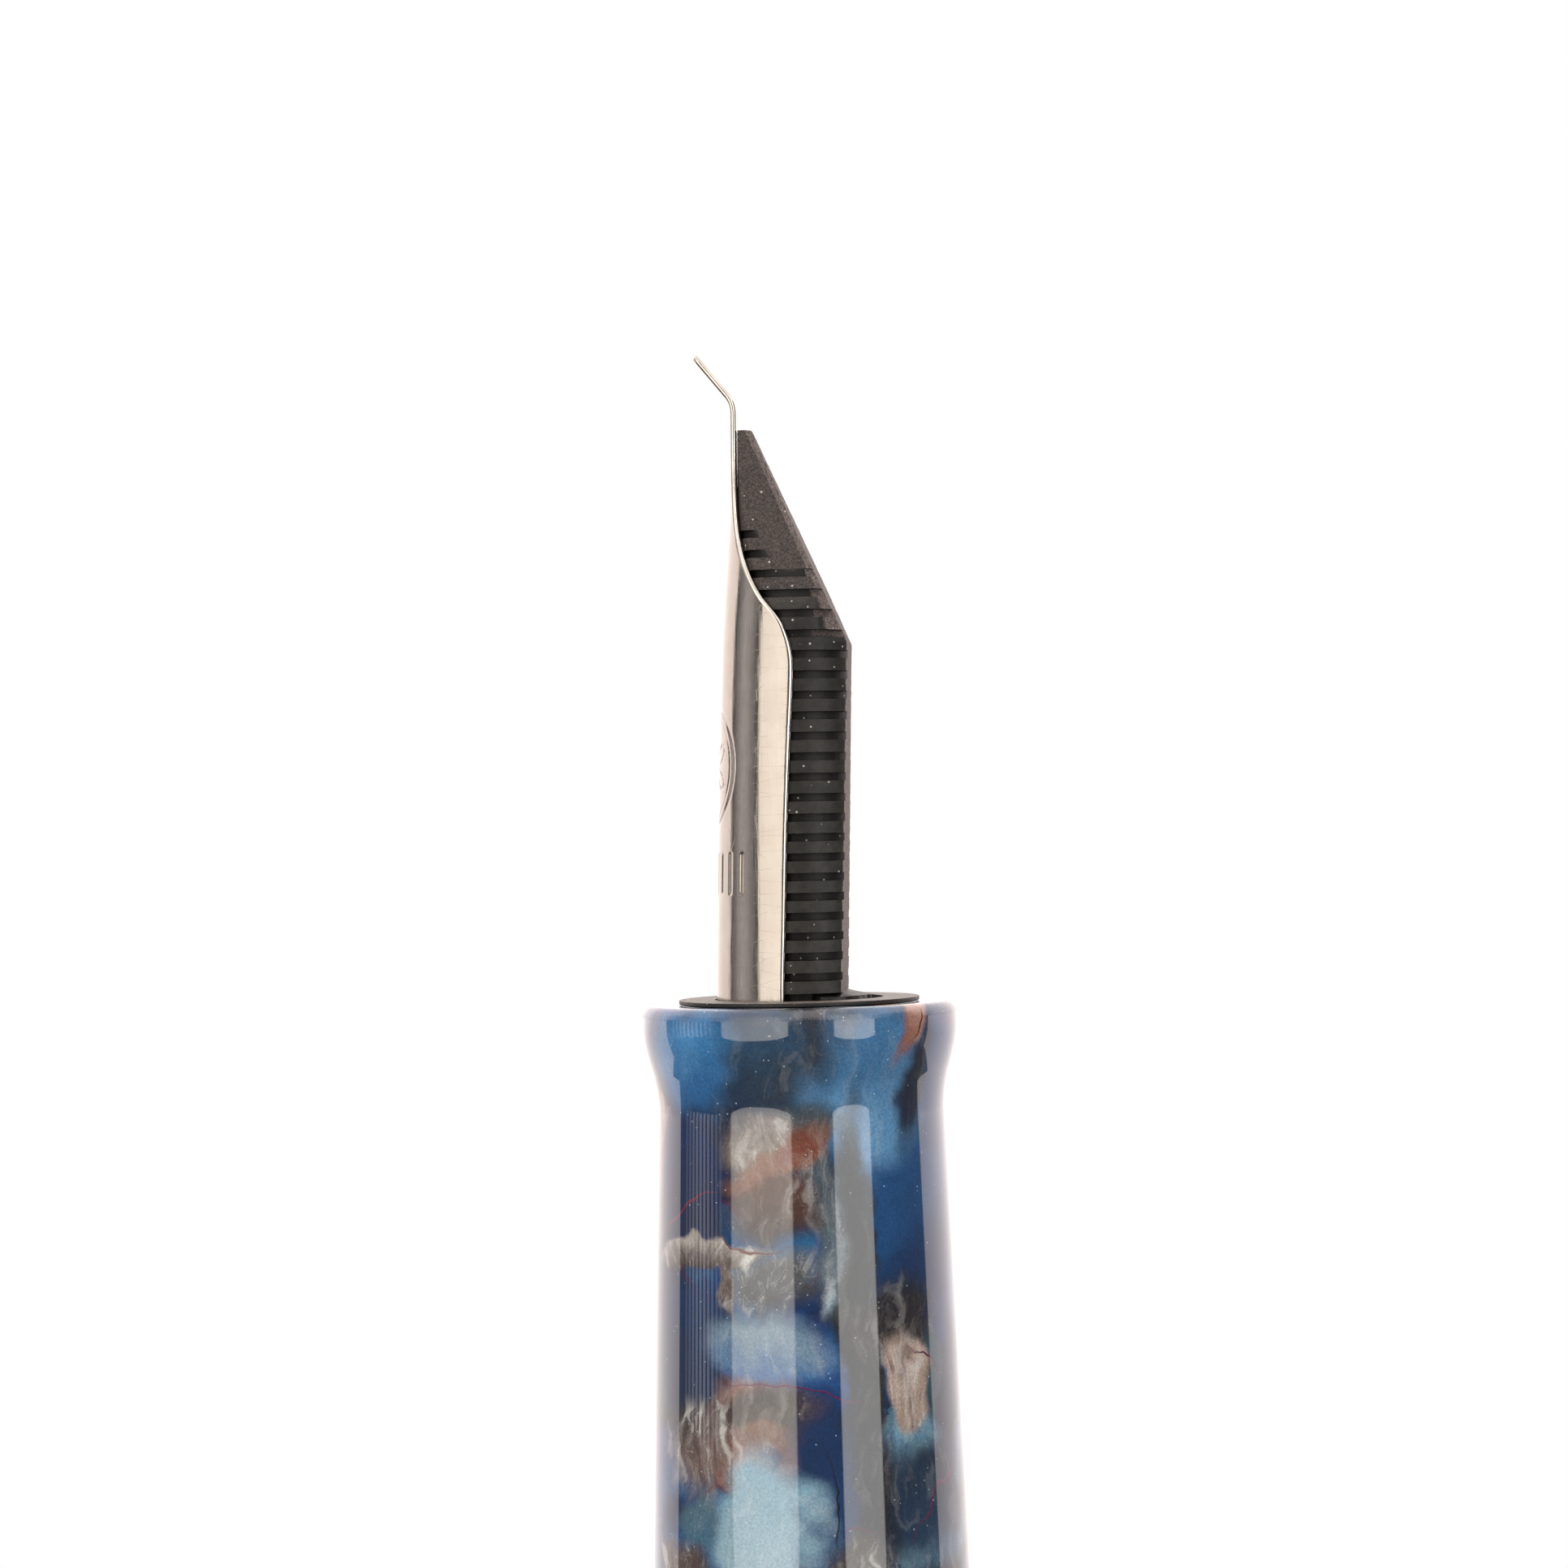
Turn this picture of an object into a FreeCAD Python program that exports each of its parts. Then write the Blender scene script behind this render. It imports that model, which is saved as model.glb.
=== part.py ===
"""Fountain pen with its cap posted on the tail, standing on the cap's flat end with the nib up.

A resin grip section carries a screw-in nib unit: a black housing, a finned ebonite feed and a steel nib
whose tip is bent up. Behind the section a trim ring, a resin barrel and a twist converter for the ink.
The cap has an inner cap, a steel band, a clip on a ring, and a screwed-on end.

Millimetres. +Z runs along the pen's axis towards the nib, the origin is the centre of the cap's flat end,
and the nib's upper face looks towards -X.
"""

import FreeCAD
import Part

import math
import os

Vector = FreeCAD.Vector

# ---- driving dimensions ----------------------------------------------------------------------------
CAP_LENGTH = 67.0
POSTED_DEPTH = 27.0  # how far the barrel's tail sits inside the cap
BARREL_LENGTH = 77.0
BARREL_R = 6.6
TAIL_R = 4.7
NECK_LENGTH = 6.5  # the cap thread's length at the barrel's front
NECK_R = 6.4  # crest of the cap thread
TRIM_RING_LENGTH = 0.8
SECTION_LENGTH = 24.5
SECTION_REAR_R = 6.0
CAP_MOUTH_R = 7.5
CAP_TOP_R = 6.75
NIB_SHEET = 0.24  # the nib's sheet thickness
FIN_PITCH = 0.7525
FIN_SLOT = 0.30
SLOT_COUNT = 24
RUNNING_GAP = 0.05  # radial clearance of turning and sliding pieces

# ---- places along the axis -------------------------------------------------------------------------
TAIL_Z = CAP_LENGTH - POSTED_DEPTH
BARREL_FRONT_Z = TAIL_Z + BARREL_LENGTH
NECK_Z = BARREL_FRONT_Z - NECK_LENGTH
SECTION_REAR_Z = BARREL_FRONT_Z + TRIM_RING_LENGTH
LIP_Z = SECTION_REAR_Z + SECTION_LENGTH

# ---- barrel and its metal bush ---------------------------------------------------------------------
BARREL_CYLINDER_LENGTH = 15.5  # the straight stretch behind the neck
TAPER_LENGTH = NECK_Z - BARREL_CYLINDER_LENGTH - TAIL_Z
TAPER_DROP = BARREL_R - TAIL_R
TAPER_ARC_R = (TAPER_LENGTH**2 + TAPER_DROP**2) / (2 * TAPER_DROP)
BARREL_BORE_R = 4.25
BARREL_BORE_Z = TAIL_Z + 11.0
BUSH_R = 5.2
BUSH_BORE_R = 4.65
BUSH_LENGTH = 9.0
TAIL_FINIAL_LENGTH = 4.0
TAIL_RING_LENGTH = 0.6
TAIL_STUD_R = 2.0
TAIL_STUD_LENGTH = 4.0

# ---- section and its threaded tenon ----------------------------------------------------------------
TENON_R = BUSH_BORE_R - RUNNING_GAP
TENON_LENGTH = 8.0
TENON_ROOT_R = 4.9
TENON_ROOT_LENGTH = 6.0
SECTION_BORE_R = 3.9
GASKET_SEAT_R = 4.37
GASKET_SEAT_DEPTH = 0.5

# ---- nib unit --------------------------------------------------------------------------------------
FLANGE_R = 4.48
FLANGE_THICK = 0.26
SLEEVE_R = SECTION_BORE_R - RUNNING_GAP
SLEEVE_LENGTH = 13.0
SLEEVE_BORE_R = 3.12
SLEEVE_FLOOR = 2.0
NIPPLE_R = 2.2
NIPPLE_BORE_R = 1.05
NIPPLE_LENGTH = 6.8
SHANK_DEPTH = 10.9  # how far nib and feed sit below the lip
FEED_SHANK_R = 2.78
FEED_STEM_R = 0.95
FEED_CONE = 0.0185  # radius lost for each mm above the lip
FEED_LEAN = 0.6  # degrees, the exposed feed leans to its underside
SLOT_FLOOR_R = 2.15
FEED_TO_NIB = 0.03
SLIT_WIDTH = 0.05
BREATHER_R = 0.7
BREATHER_HEIGHT = 13.0

# ---- converter -------------------------------------------------------------------------------------
CONVERTER_R = 3.7
CHAMBER_R = 3.1
CONVERTER_MOUTH_Z = LIP_Z - 13.3
CONVERTER_TUBE_LENGTH = 46.0
CHAMBER_FRONT_Z = CONVERTER_MOUTH_Z - 7.5
COLLAR_R = 3.95
COLLAR_LENGTH = 10.0
COLLAR_Z = CONVERTER_MOUTH_Z - 50.0
KNOB_R = 3.6
KNOB_LENGTH = 20.0
ROD_R = 1.3
SEAL_LENGTH = 4.0
BALL_R = 1.5

# ---- cap -------------------------------------------------------------------------------------------
CAP_END_LENGTH = 5.0
CAP_END_FLAT_R = 5.2
CLIP_RING_LENGTH = 1.0
SHELL_Z = CAP_END_LENGTH + CLIP_RING_LENGTH
SHELL_WALL_Z = SHELL_Z + 3.0  # top of the shell's end wall
THREAD_ZONE = 7.0
THREAD_CREST_R = 6.18
CAP_BORE_R = 6.45
LINER_MOUTH_Z = CAP_LENGTH - 31.8
LINER_R = 5.95
LINER_BORE_R = 4.9
LINER_FLOOR = 1.2
BAND_Z = CAP_LENGTH - 6.0
BAND_LENGTH = 4.0
BAND_GROOVE_R = 7.05
BAND_R = 7.56
SCREW_R = 2.0
SCREW_HOLE_R = 2.1
SCREW_HEAD_R = 3.0
CLIP_PIVOT = (-7.6, SHELL_Z - 0.5)  # x and z of the knuckle at the clip's root
CLIP_KNUCKLE_R = 0.5
CLIP_THICK = 0.8


def outline(*steps):
    """A closed outline in the XZ plane. A step is (r, z), reached by a line, or (r, z, rm, zm), by an arc."""
    edges = []
    start = steps[0]
    for step in steps[1:] + (start[:2],):
        a = Vector(start[0], 0, start[1])
        b = Vector(step[0], 0, step[1])
        if (b - a).Length > 1e-7:
            if len(step) == 4:
                edges.append(Part.Arc(a, Vector(step[2], 0, step[3]), b).toShape())
            else:
                edges.append(Part.LineSegment(a, b).toShape())
        start = step
    return Part.Face(Part.Wire(edges))


def turned(*steps):
    """A solid of revolution about the pen's axis."""
    return outline(*steps).revolve(Vector(), Vector(0, 0, 1), 360).Solids[0]


def tube(r_outer, r_inner, z_low, z_high):
    """A plain sleeve."""
    return turned((r_inner, z_low), (r_outer, z_low), (r_outer, z_high), (r_inner, z_high))


def rod(r, z_low, z_high):
    """A plain round bar."""
    return Part.makeCylinder(r, z_high - z_low, Vector(0, 0, z_low))


def block(x, y, z):
    """A box given by its three ranges."""
    return Part.makeBox(x[1] - x[0], y[1] - y[0], z[1] - z[0], Vector(x[0], y[0], z[0]))


def side_prism(points, half_width):
    """A prism with a side outline of (x, z) points, reaching half_width to each side of the axis plane."""
    wire = Part.makePolygon([Vector(x, -half_width, z) for x, z in points + points[:1]])
    return Part.Face(wire).extrude(Vector(0, 2 * half_width, 0))


def plan_prism(points, half_depth):
    """A prism with a front outline of (y, z) points, reaching half_depth in front of and behind the axis."""
    wire = Part.makePolygon([Vector(-half_depth, y, z) for y, z in points + points[:1]])
    return Part.Face(wire).extrude(Vector(2 * half_depth, 0, 0))


# ---- barrel ----------------------------------------------------------------------------------------
def barrel_radius(z):
    """Outer radius of the barrel's cigar taper, tangent to its straight stretch."""
    along = max(0.0, TAIL_Z + TAPER_LENGTH - z)
    return BARREL_R - TAPER_ARC_R + math.sqrt(TAPER_ARC_R**2 - along**2)


def taper_arc(z_low, z_high):
    """The step of an outline that follows the taper up from z_low to z_high."""
    middle = (z_low + z_high) / 2
    return (barrel_radius(z_high), z_high, barrel_radius(middle), middle)


def make_barrel():
    z_end = TAIL_Z + TAIL_FINIAL_LENGTH + TAIL_RING_LENGTH
    shoulder = 0.35
    body = turned(
        (0, z_end),
        (barrel_radius(z_end), z_end),
        taper_arc(z_end, TAIL_Z + TAPER_LENGTH),
        (BARREL_R, NECK_Z - shoulder),
        (BARREL_R - shoulder, NECK_Z),
        (BARREL_R - shoulder, NECK_Z + 0.6),
        (NECK_R, NECK_Z + 0.85),
        (NECK_R, BARREL_FRONT_Z - 0.5),
        (NECK_R - 0.3, BARREL_FRONT_Z),
        (0, BARREL_FRONT_Z),
    )
    body = body.cut(rod(BARREL_BORE_R, BARREL_BORE_Z, BARREL_FRONT_Z))
    body = body.cut(rod(BUSH_R, BARREL_FRONT_Z - BUSH_LENGTH, BARREL_FRONT_Z))
    return body.cut(rod(TAIL_STUD_R, z_end, z_end + TAIL_STUD_LENGTH))


def make_barrel_bush():
    return tube(BUSH_R, BUSH_BORE_R, BARREL_FRONT_Z - BUSH_LENGTH, BARREL_FRONT_Z)


def make_tail_ring():
    z = TAIL_Z + TAIL_FINIAL_LENGTH
    return tube(barrel_radius(z) + 0.06, TAIL_STUD_R, z, z + TAIL_RING_LENGTH)


def make_tail_finial():
    top = TAIL_Z + TAIL_FINIAL_LENGTH
    edge = 1.6  # height of the rounded end
    stud_top = top + TAIL_RING_LENGTH + TAIL_STUD_LENGTH - 0.3
    return turned(
        (0, TAIL_Z),
        (TAIL_R - edge, TAIL_Z),
        (barrel_radius(TAIL_Z + edge), TAIL_Z + edge, TAIL_R - 0.42, TAIL_Z + 0.5),
        taper_arc(TAIL_Z + edge, top),
        (TAIL_STUD_R, top),
        (TAIL_STUD_R, stud_top),
        (0, stud_top),
    )


# ---- section ---------------------------------------------------------------------------------------
def make_section_ring():
    edge = 0.12
    outer = SECTION_REAR_R + 0.18
    low = BARREL_FRONT_Z
    high = SECTION_REAR_Z
    return turned(
        (BUSH_BORE_R, low),
        (outer - edge, low),
        (outer, low + edge),
        (outer, high - edge),
        (outer - edge, high),
        (BUSH_BORE_R, high),
    )


def make_section():
    """The grip: a long cone, a waist, and a flared lip round the nib unit."""
    waist_r = 5.345
    lip_r = 5.88
    body = turned(
        (0, SECTION_REAR_Z),
        (SECTION_REAR_R - 0.15, SECTION_REAR_Z),
        (SECTION_REAR_R, SECTION_REAR_Z + 0.15),
        (waist_r + 0.02, LIP_Z - 4.4),
        (waist_r + 0.01, LIP_Z - 3.5, waist_r, LIP_Z - 3.95),
        (5.70, LIP_Z - 1.75, 5.49, LIP_Z - 2.62),
        (lip_r, LIP_Z - 0.5, 5.835, LIP_Z - 1.05),
        (5.50, LIP_Z, 5.765, LIP_Z - 0.14),
        (0, LIP_Z),
    )
    body = body.cut(rod(SECTION_BORE_R, SECTION_REAR_Z, LIP_Z))
    body = body.cut(rod(GASKET_SEAT_R, LIP_Z - GASKET_SEAT_DEPTH, LIP_Z))
    return body.cut(rod(TENON_ROOT_R, SECTION_REAR_Z, SECTION_REAR_Z + TENON_ROOT_LENGTH))


def make_section_tenon():
    low = SECTION_REAR_Z - TENON_LENGTH
    high = SECTION_REAR_Z + TENON_ROOT_LENGTH
    return turned(
        (SECTION_BORE_R, low),
        (TENON_R - 0.35, low),
        (TENON_R, low + 0.35),
        (TENON_R, SECTION_REAR_Z),
        (TENON_ROOT_R, SECTION_REAR_Z),
        (TENON_ROOT_R, high),
        (SECTION_BORE_R, high),
    )


# ---- nib unit --------------------------------------------------------------------------------------
def make_nib_gasket():
    cord_r = 0.24
    middle = (SLEEVE_R + GASKET_SEAT_R) / 2
    return Part.makeTorus(middle, cord_r, Vector(0, 0, LIP_Z - GASKET_SEAT_DEPTH / 2))


def make_nib_housing():
    """The black sleeve that holds nib and feed: flange, threaded sleeve and the nipple for the converter."""
    floor_z = LIP_Z - SLEEVE_LENGTH
    edge = 0.07
    top = LIP_Z + FLANGE_THICK
    body = turned(
        (NIPPLE_BORE_R, floor_z - NIPPLE_LENGTH),
        (NIPPLE_R - 0.3, floor_z - NIPPLE_LENGTH),
        (NIPPLE_R, floor_z - NIPPLE_LENGTH + 0.6),
        (NIPPLE_R, floor_z),
        (SLEEVE_R - 0.3, floor_z),
        (SLEEVE_R, floor_z + 0.3),
        (SLEEVE_R, LIP_Z),
        (FLANGE_R, LIP_Z),
        (FLANGE_R, top - edge),
        (FLANGE_R - edge, top),
        (SLEEVE_BORE_R + edge, top),
        (SLEEVE_BORE_R, top - edge),
        (SLEEVE_BORE_R, floor_z + SLEEVE_FLOOR),
        (NIPPLE_BORE_R, floor_z + SLEEVE_FLOOR),
    )
    return body


# The nib at heights above the lip: x of its upper face at the middle, radius of that face's curl, and
# half the sheet's width measured round the curl. Under the lip it is a plain half tube.
NIB_STATIONS = (
    (-SHANK_DEPTH, -3.06, 3.06, 4.30),
    (0.0, -3.06, 3.06, 4.30),
    (3.2, -2.97, 2.97, 4.27),
    (6.5, -2.87, 2.89, 4.25),
    (9.5, -2.765, 2.83, 4.27),
    (12.0, -2.655, 2.77, 4.28),
    (12.9, -2.61, 2.76, 4.23),
    (13.6, -2.57, 2.77, 4.05),
    (14.3, -2.52, 2.80, 3.70),
    (15.2, -2.45, 2.87, 2.93),
    (16.1, -2.37, 2.97, 2.31),
    (17.0, -2.30, 3.10, 1.81),
    (17.9, -2.235, 3.40, 1.43),
    (19.0, -2.165, 4.00, 1.08),
    (20.2, -2.12, 5.50, 0.86),
    (21.3, -2.09, 9.00, 0.72),
    (22.15, -2.075, 20.0, 0.64),
)
BEND_R = 1.0  # of the sheet's middle, where the tip turns up
BEND_ANGLE = 38.8
TIP_REACH = 1.95  # straight length beyond the bend
TIPPING_LENGTH = 0.8
TIP_HALF_WIDTH = 0.54


def curl_section(top_x, curl_r, half_width, z, inner_gap, outer_extra):
    """The sheet's cross-section at one height, as a closed wire of two arcs and two edges."""
    centre = top_x + curl_r
    spread = half_width / (curl_r - NIB_SHEET / 2)

    def at(r, angle):
        return Vector(centre - r * math.cos(angle), r * math.sin(angle), z)

    outer = curl_r + outer_extra
    inner = curl_r - NIB_SHEET - inner_gap
    return Part.Wire([
        Part.Arc(at(outer, -spread), at(outer, 0), at(outer, spread)).toShape(),
        Part.LineSegment(at(outer, spread), at(inner, spread)).toShape(),
        Part.Arc(at(inner, spread), at(inner, 0), at(inner, -spread)).toShape(),
        Part.LineSegment(at(inner, -spread), at(outer, -spread)).toShape(),
    ])


def tip_section(turned_by, run, half_width):
    """The flat sheet's cross-section in the turned-up tip, after a bend and a straight run."""
    last_z, last_x = NIB_STATIONS[-1][0], NIB_STATIONS[-1][1]
    wire = curl_section(last_x, 60.0, half_width, LIP_Z + last_z, 0, 0)
    pivot = Vector(last_x + NIB_SHEET / 2 - BEND_R, 0, LIP_Z + last_z)
    wire.rotate(pivot, Vector(0, -1, 0), turned_by)
    along = math.radians(turned_by)
    wire.translate(Vector(-math.sin(along), 0, math.cos(along)) * run)
    return wire


def slit():
    """The cut from the breather hole to the tip, with the hole itself."""
    low = LIP_Z + BREATHER_HEIGHT
    hole = Part.makeCylinder(BREATHER_R, 6, Vector(-5, 0, low), Vector(1, 0, 0))
    return hole.fuse(block((-6, 0), (-SLIT_WIDTH / 2, SLIT_WIDTH / 2), (low, low + 16)))


def make_nib():
    wires = [curl_section(x, r, w, LIP_Z + z, 0, 0) for z, x, r, w in NIB_STATIONS]
    for share, half_width in ((0.5, 0.62), (1.0, 0.60)):
        wires.append(tip_section(share * BEND_ANGLE, 0, half_width))
    wires.append(tip_section(BEND_ANGLE, TIP_REACH - TIPPING_LENGTH, 0.57))
    return Part.makeLoft(wires, True, True).cut(slit())


def make_nib_tipping():
    """The hard alloy at the end of each tine, ground flush with the sheet and rounded at its end."""
    root = TIP_REACH - TIPPING_LENGTH
    wires = [
        tip_section(BEND_ANGLE, root, 0.57),
        tip_section(BEND_ANGLE, TIP_REACH - 0.2, TIP_HALF_WIDTH),
        tip_section(BEND_ANGLE, TIP_REACH, TIP_HALF_WIDTH - 0.14),
    ]
    return Part.makeLoft(wires, True, True).cut(slit())


def nib_space():
    """All the room that the feed must leave for the nib, from just under the sheet outwards."""
    wires = [
        curl_section(x, r, w + 0.25, LIP_Z + z, FEED_TO_NIB, 3.0)
        for z, x, r, w in NIB_STATIONS[1:]
    ]
    return Part.makeLoft(wires, True, True)


def make_feed():
    """An ebonite rod with sawn fins, a flat underside and a ground, pointed front under the nib."""
    height = 22.0
    shank = rod(FEED_SHANK_R, LIP_Z - SHANK_DEPTH, LIP_Z + 0.2)
    stem = rod(FEED_STEM_R, LIP_Z - SHANK_DEPTH - 6.5, LIP_Z - SHANK_DEPTH)
    fins = Part.makeCone(FEED_SHANK_R, FEED_SHANK_R - FEED_CONE * height, height, Vector(0, 0, LIP_Z))
    for index in range(SLOT_COUNT):
        low = LIP_Z + 0.21 + FIN_PITCH * index
        fins = fins.cut(tube(4, SLOT_FLOOR_R, low, low + FIN_SLOT))
    fins.rotate(Vector(0, 0, LIP_Z), Vector(0, 1, 0), FEED_LEAN)
    side = side_prism(
        [
            (-5, LIP_Z - 1),
            (5, LIP_Z - 1),
            (5, LIP_Z + 0.42),
            (1.76, LIP_Z + 0.5),
            (2.17, LIP_Z + 13.55),
            (-1.27, LIP_Z + 21.4),
            (-1.76, LIP_Z + 21.6),
            (-5, LIP_Z + 15.0),
        ],
        5,
    )
    plan = plan_prism(
        [
            (-5, LIP_Z - 1),
            (5, LIP_Z - 1),
            (5, LIP_Z + 14.5),
            (2.63, LIP_Z + 14.5),
            (0.75, LIP_Z + 21.6),
            (-0.75, LIP_Z + 21.6),
            (-2.63, LIP_Z + 14.5),
            (-5, LIP_Z + 14.5),
        ],
        6,
    )
    fins = fins.common(side).common(plan).cut(nib_space())
    channel = block((-4, -1.9), (-0.3, 0.3), (LIP_Z - SHANK_DEPTH + 1, LIP_Z + 19.5))
    return shank.fuse(stem).fuse(fins).cut(channel)


# ---- converter -------------------------------------------------------------------------------------
def make_converter_tube():
    z = CONVERTER_MOUTH_Z
    rear = z - CONVERTER_TUBE_LENGTH
    return turned(
        (NIPPLE_R + 0.02, z),
        (CONVERTER_R - 0.25, z),
        (CONVERTER_R, z - 0.25),
        (CONVERTER_R, rear),
        (CHAMBER_R, rear),
        (CHAMBER_R, CHAMBER_FRONT_Z - 1.2),
        (1.2, CHAMBER_FRONT_Z),
        (1.2, CHAMBER_FRONT_Z + 0.6),
        (NIPPLE_R + 0.02, CHAMBER_FRONT_Z + 0.6),
    )


def make_converter_collar():
    """Chromed sleeve on the tube's rear, with the nut that the piston rod runs in."""
    rear = CONVERTER_MOUTH_Z - CONVERTER_TUBE_LENGTH
    nut_z = COLLAR_Z + 0.4
    return turned(
        (ROD_R + 0.02, nut_z),
        (COLLAR_R - 0.6, nut_z),
        (COLLAR_R - 0.6, COLLAR_Z),
        (COLLAR_R - 0.15, COLLAR_Z),
        (COLLAR_R, COLLAR_Z + 0.15),
        (COLLAR_R, COLLAR_Z + COLLAR_LENGTH - 0.15),
        (COLLAR_R - 0.15, COLLAR_Z + COLLAR_LENGTH),
        (CONVERTER_R, COLLAR_Z + COLLAR_LENGTH),
        (CONVERTER_R, rear),
        (ROD_R + 0.02, rear),
    )


def make_converter_knob():
    """Ribbed twist knob, hollow for the rod."""
    low = COLLAR_Z - KNOB_LENGTH
    high = COLLAR_Z - RUNNING_GAP
    body = turned(
        (0, low),
        (KNOB_R - 0.5, low),
        (KNOB_R, low + 0.5),
        (KNOB_R, high),
        (0, high),
    )
    body = body.cut(rod(ROD_R + 0.04, low + 1.0, high))
    rib_count = 12
    for index in range(rib_count):
        groove = Part.makeCylinder(0.35, 11, Vector(KNOB_R + 0.1, 0, low + 1.5))
        groove.rotate(Vector(), Vector(0, 0, 1), 360 * index / rib_count)
        body = body.cut(groove)
    return body


def seal_z():
    """Underside of the piston seal at rest, fully drawn back."""
    return COLLAR_Z + COLLAR_LENGTH + 1.0


def make_converter_rod():
    low = COLLAR_Z - KNOB_LENGTH + 1.2
    return rod(ROD_R, low, seal_z())


def make_converter_seal():
    """Black piston seal with two lips."""
    z = seal_z()
    lip_r = CHAMBER_R - 0.02
    return turned(
        (0, z),
        (lip_r - 0.25, z),
        (lip_r, z + 0.35),
        (lip_r, z + 1.0),
        (lip_r - 0.45, z + 1.4),
        (lip_r - 0.45, z + SEAL_LENGTH - 1.4),
        (lip_r, z + SEAL_LENGTH - 1.0),
        (lip_r, z + SEAL_LENGTH - 0.35),
        (lip_r - 0.25, z + SEAL_LENGTH),
        (0, z + SEAL_LENGTH),
    )


def make_agitator_ball():
    return Part.makeSphere(BALL_R, Vector(0, 0, seal_z() + SEAL_LENGTH + BALL_R + 0.01))


# ---- cap -------------------------------------------------------------------------------------------
def cap_radius(z):
    """Outer radius of the cap shell, a shallow arc from its mouth to its end."""
    share = (CAP_LENGTH - z) / (CAP_LENGTH - SHELL_Z)
    return CAP_MOUTH_R - (CAP_MOUTH_R - CAP_TOP_R) * share**1.6


def make_cap_shell():
    middle = (SHELL_Z + BAND_Z) / 2
    body = turned(
        (0, SHELL_Z),
        (CAP_TOP_R, SHELL_Z),
        (cap_radius(BAND_Z), BAND_Z, cap_radius(middle), middle),
        (BAND_GROOVE_R, BAND_Z),
        (BAND_GROOVE_R, BAND_Z + BAND_LENGTH),
        (CAP_MOUTH_R, BAND_Z + BAND_LENGTH),
        (CAP_MOUTH_R, CAP_LENGTH - 0.5),
        (CAP_MOUTH_R - 0.5, CAP_LENGTH, CAP_MOUTH_R - 0.15, CAP_LENGTH - 0.15),
        (0, CAP_LENGTH),
    )
    inside = turned(
        (0, SHELL_WALL_Z),
        (LINER_R, SHELL_WALL_Z),
        (LINER_R, LINER_MOUTH_Z),
        (CAP_BORE_R, LINER_MOUTH_Z + 0.5),
        (CAP_BORE_R, CAP_LENGTH - THREAD_ZONE),
        (THREAD_CREST_R, CAP_LENGTH - THREAD_ZONE + 0.27),
        (THREAD_CREST_R, CAP_LENGTH - 0.4),
        (THREAD_CREST_R + 0.4, CAP_LENGTH),
        (0, CAP_LENGTH),
    )
    return body.cut(inside).cut(rod(SCREW_HOLE_R, SHELL_Z, SHELL_WALL_Z))


def make_cap_band():
    """Steel band let into the cap near its mouth, with a turned groove round its middle."""
    z = BAND_Z
    edge = 0.12
    middle = z + BAND_LENGTH / 2
    groove = 0.22
    return turned(
        (BAND_GROOVE_R, z),
        (BAND_R - edge, z),
        (BAND_R, z + edge),
        (BAND_R, middle - groove),
        (BAND_R - groove, middle),
        (BAND_R, middle + groove),
        (BAND_R, z + BAND_LENGTH - edge),
        (BAND_R - edge, z + BAND_LENGTH),
        (BAND_GROOVE_R, z + BAND_LENGTH),
    )


def make_cap_liner():
    """Inner cap that seals on the section's lip when the pen is capped."""
    floor_z = SHELL_WALL_Z
    body = turned(
        (SCREW_HOLE_R, floor_z),
        (LINER_R, floor_z),
        (LINER_R, LINER_MOUTH_Z - 0.3),
        (LINER_R - 0.3, LINER_MOUTH_Z),
        (LINER_BORE_R, LINER_MOUTH_Z),
        (LINER_BORE_R, floor_z + LINER_FLOOR),
        (SCREW_HOLE_R, floor_z + LINER_FLOOR),
    )
    return body


def make_finial_screw():
    """Slotted brass screw from inside the cap, through liner, shell and clip ring into the cap's end."""
    head_z = SHELL_WALL_Z + LINER_FLOOR
    low = CAP_END_LENGTH - 3.2
    body = rod(SCREW_R, low, head_z).fuse(rod(SCREW_HEAD_R, head_z, head_z + 1.0))
    return body.cut(block((-4, 4), (-0.4, 0.4), (head_z + 0.5, head_z + 1.1)))


def make_cap_finial():
    """The cap's resin end, flat so that the pen can stand on it."""
    return turned(
        (0, 0),
        (CAP_END_FLAT_R, 0),
        (6.4, 1.6, 6.07, 0.46),
        (6.62, CAP_END_LENGTH, 6.55, 3.3),
        (SCREW_R, CAP_END_LENGTH),
        (SCREW_R, CAP_END_LENGTH - 3.2),
        (0, CAP_END_LENGTH - 3.2),
    )


def make_clip_ring():
    """Washer held between the cap's end and the shell, with the lug that carries the clip."""
    ring = tube(CAP_TOP_R + 0.05, SCREW_HOLE_R, CAP_END_LENGTH, SHELL_Z)
    lug = block((CLIP_PIVOT[0] + 0.2, -5), (-1.9, 1.9), (CAP_END_LENGTH, SHELL_Z))
    seat = Part.makeCylinder(
        CLIP_KNUCKLE_R + 0.03, 6, Vector(CLIP_PIVOT[0], -3, CLIP_PIVOT[1]), Vector(0, 1, 0)
    )
    return ring.fuse(lug).cut(seat)


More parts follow.
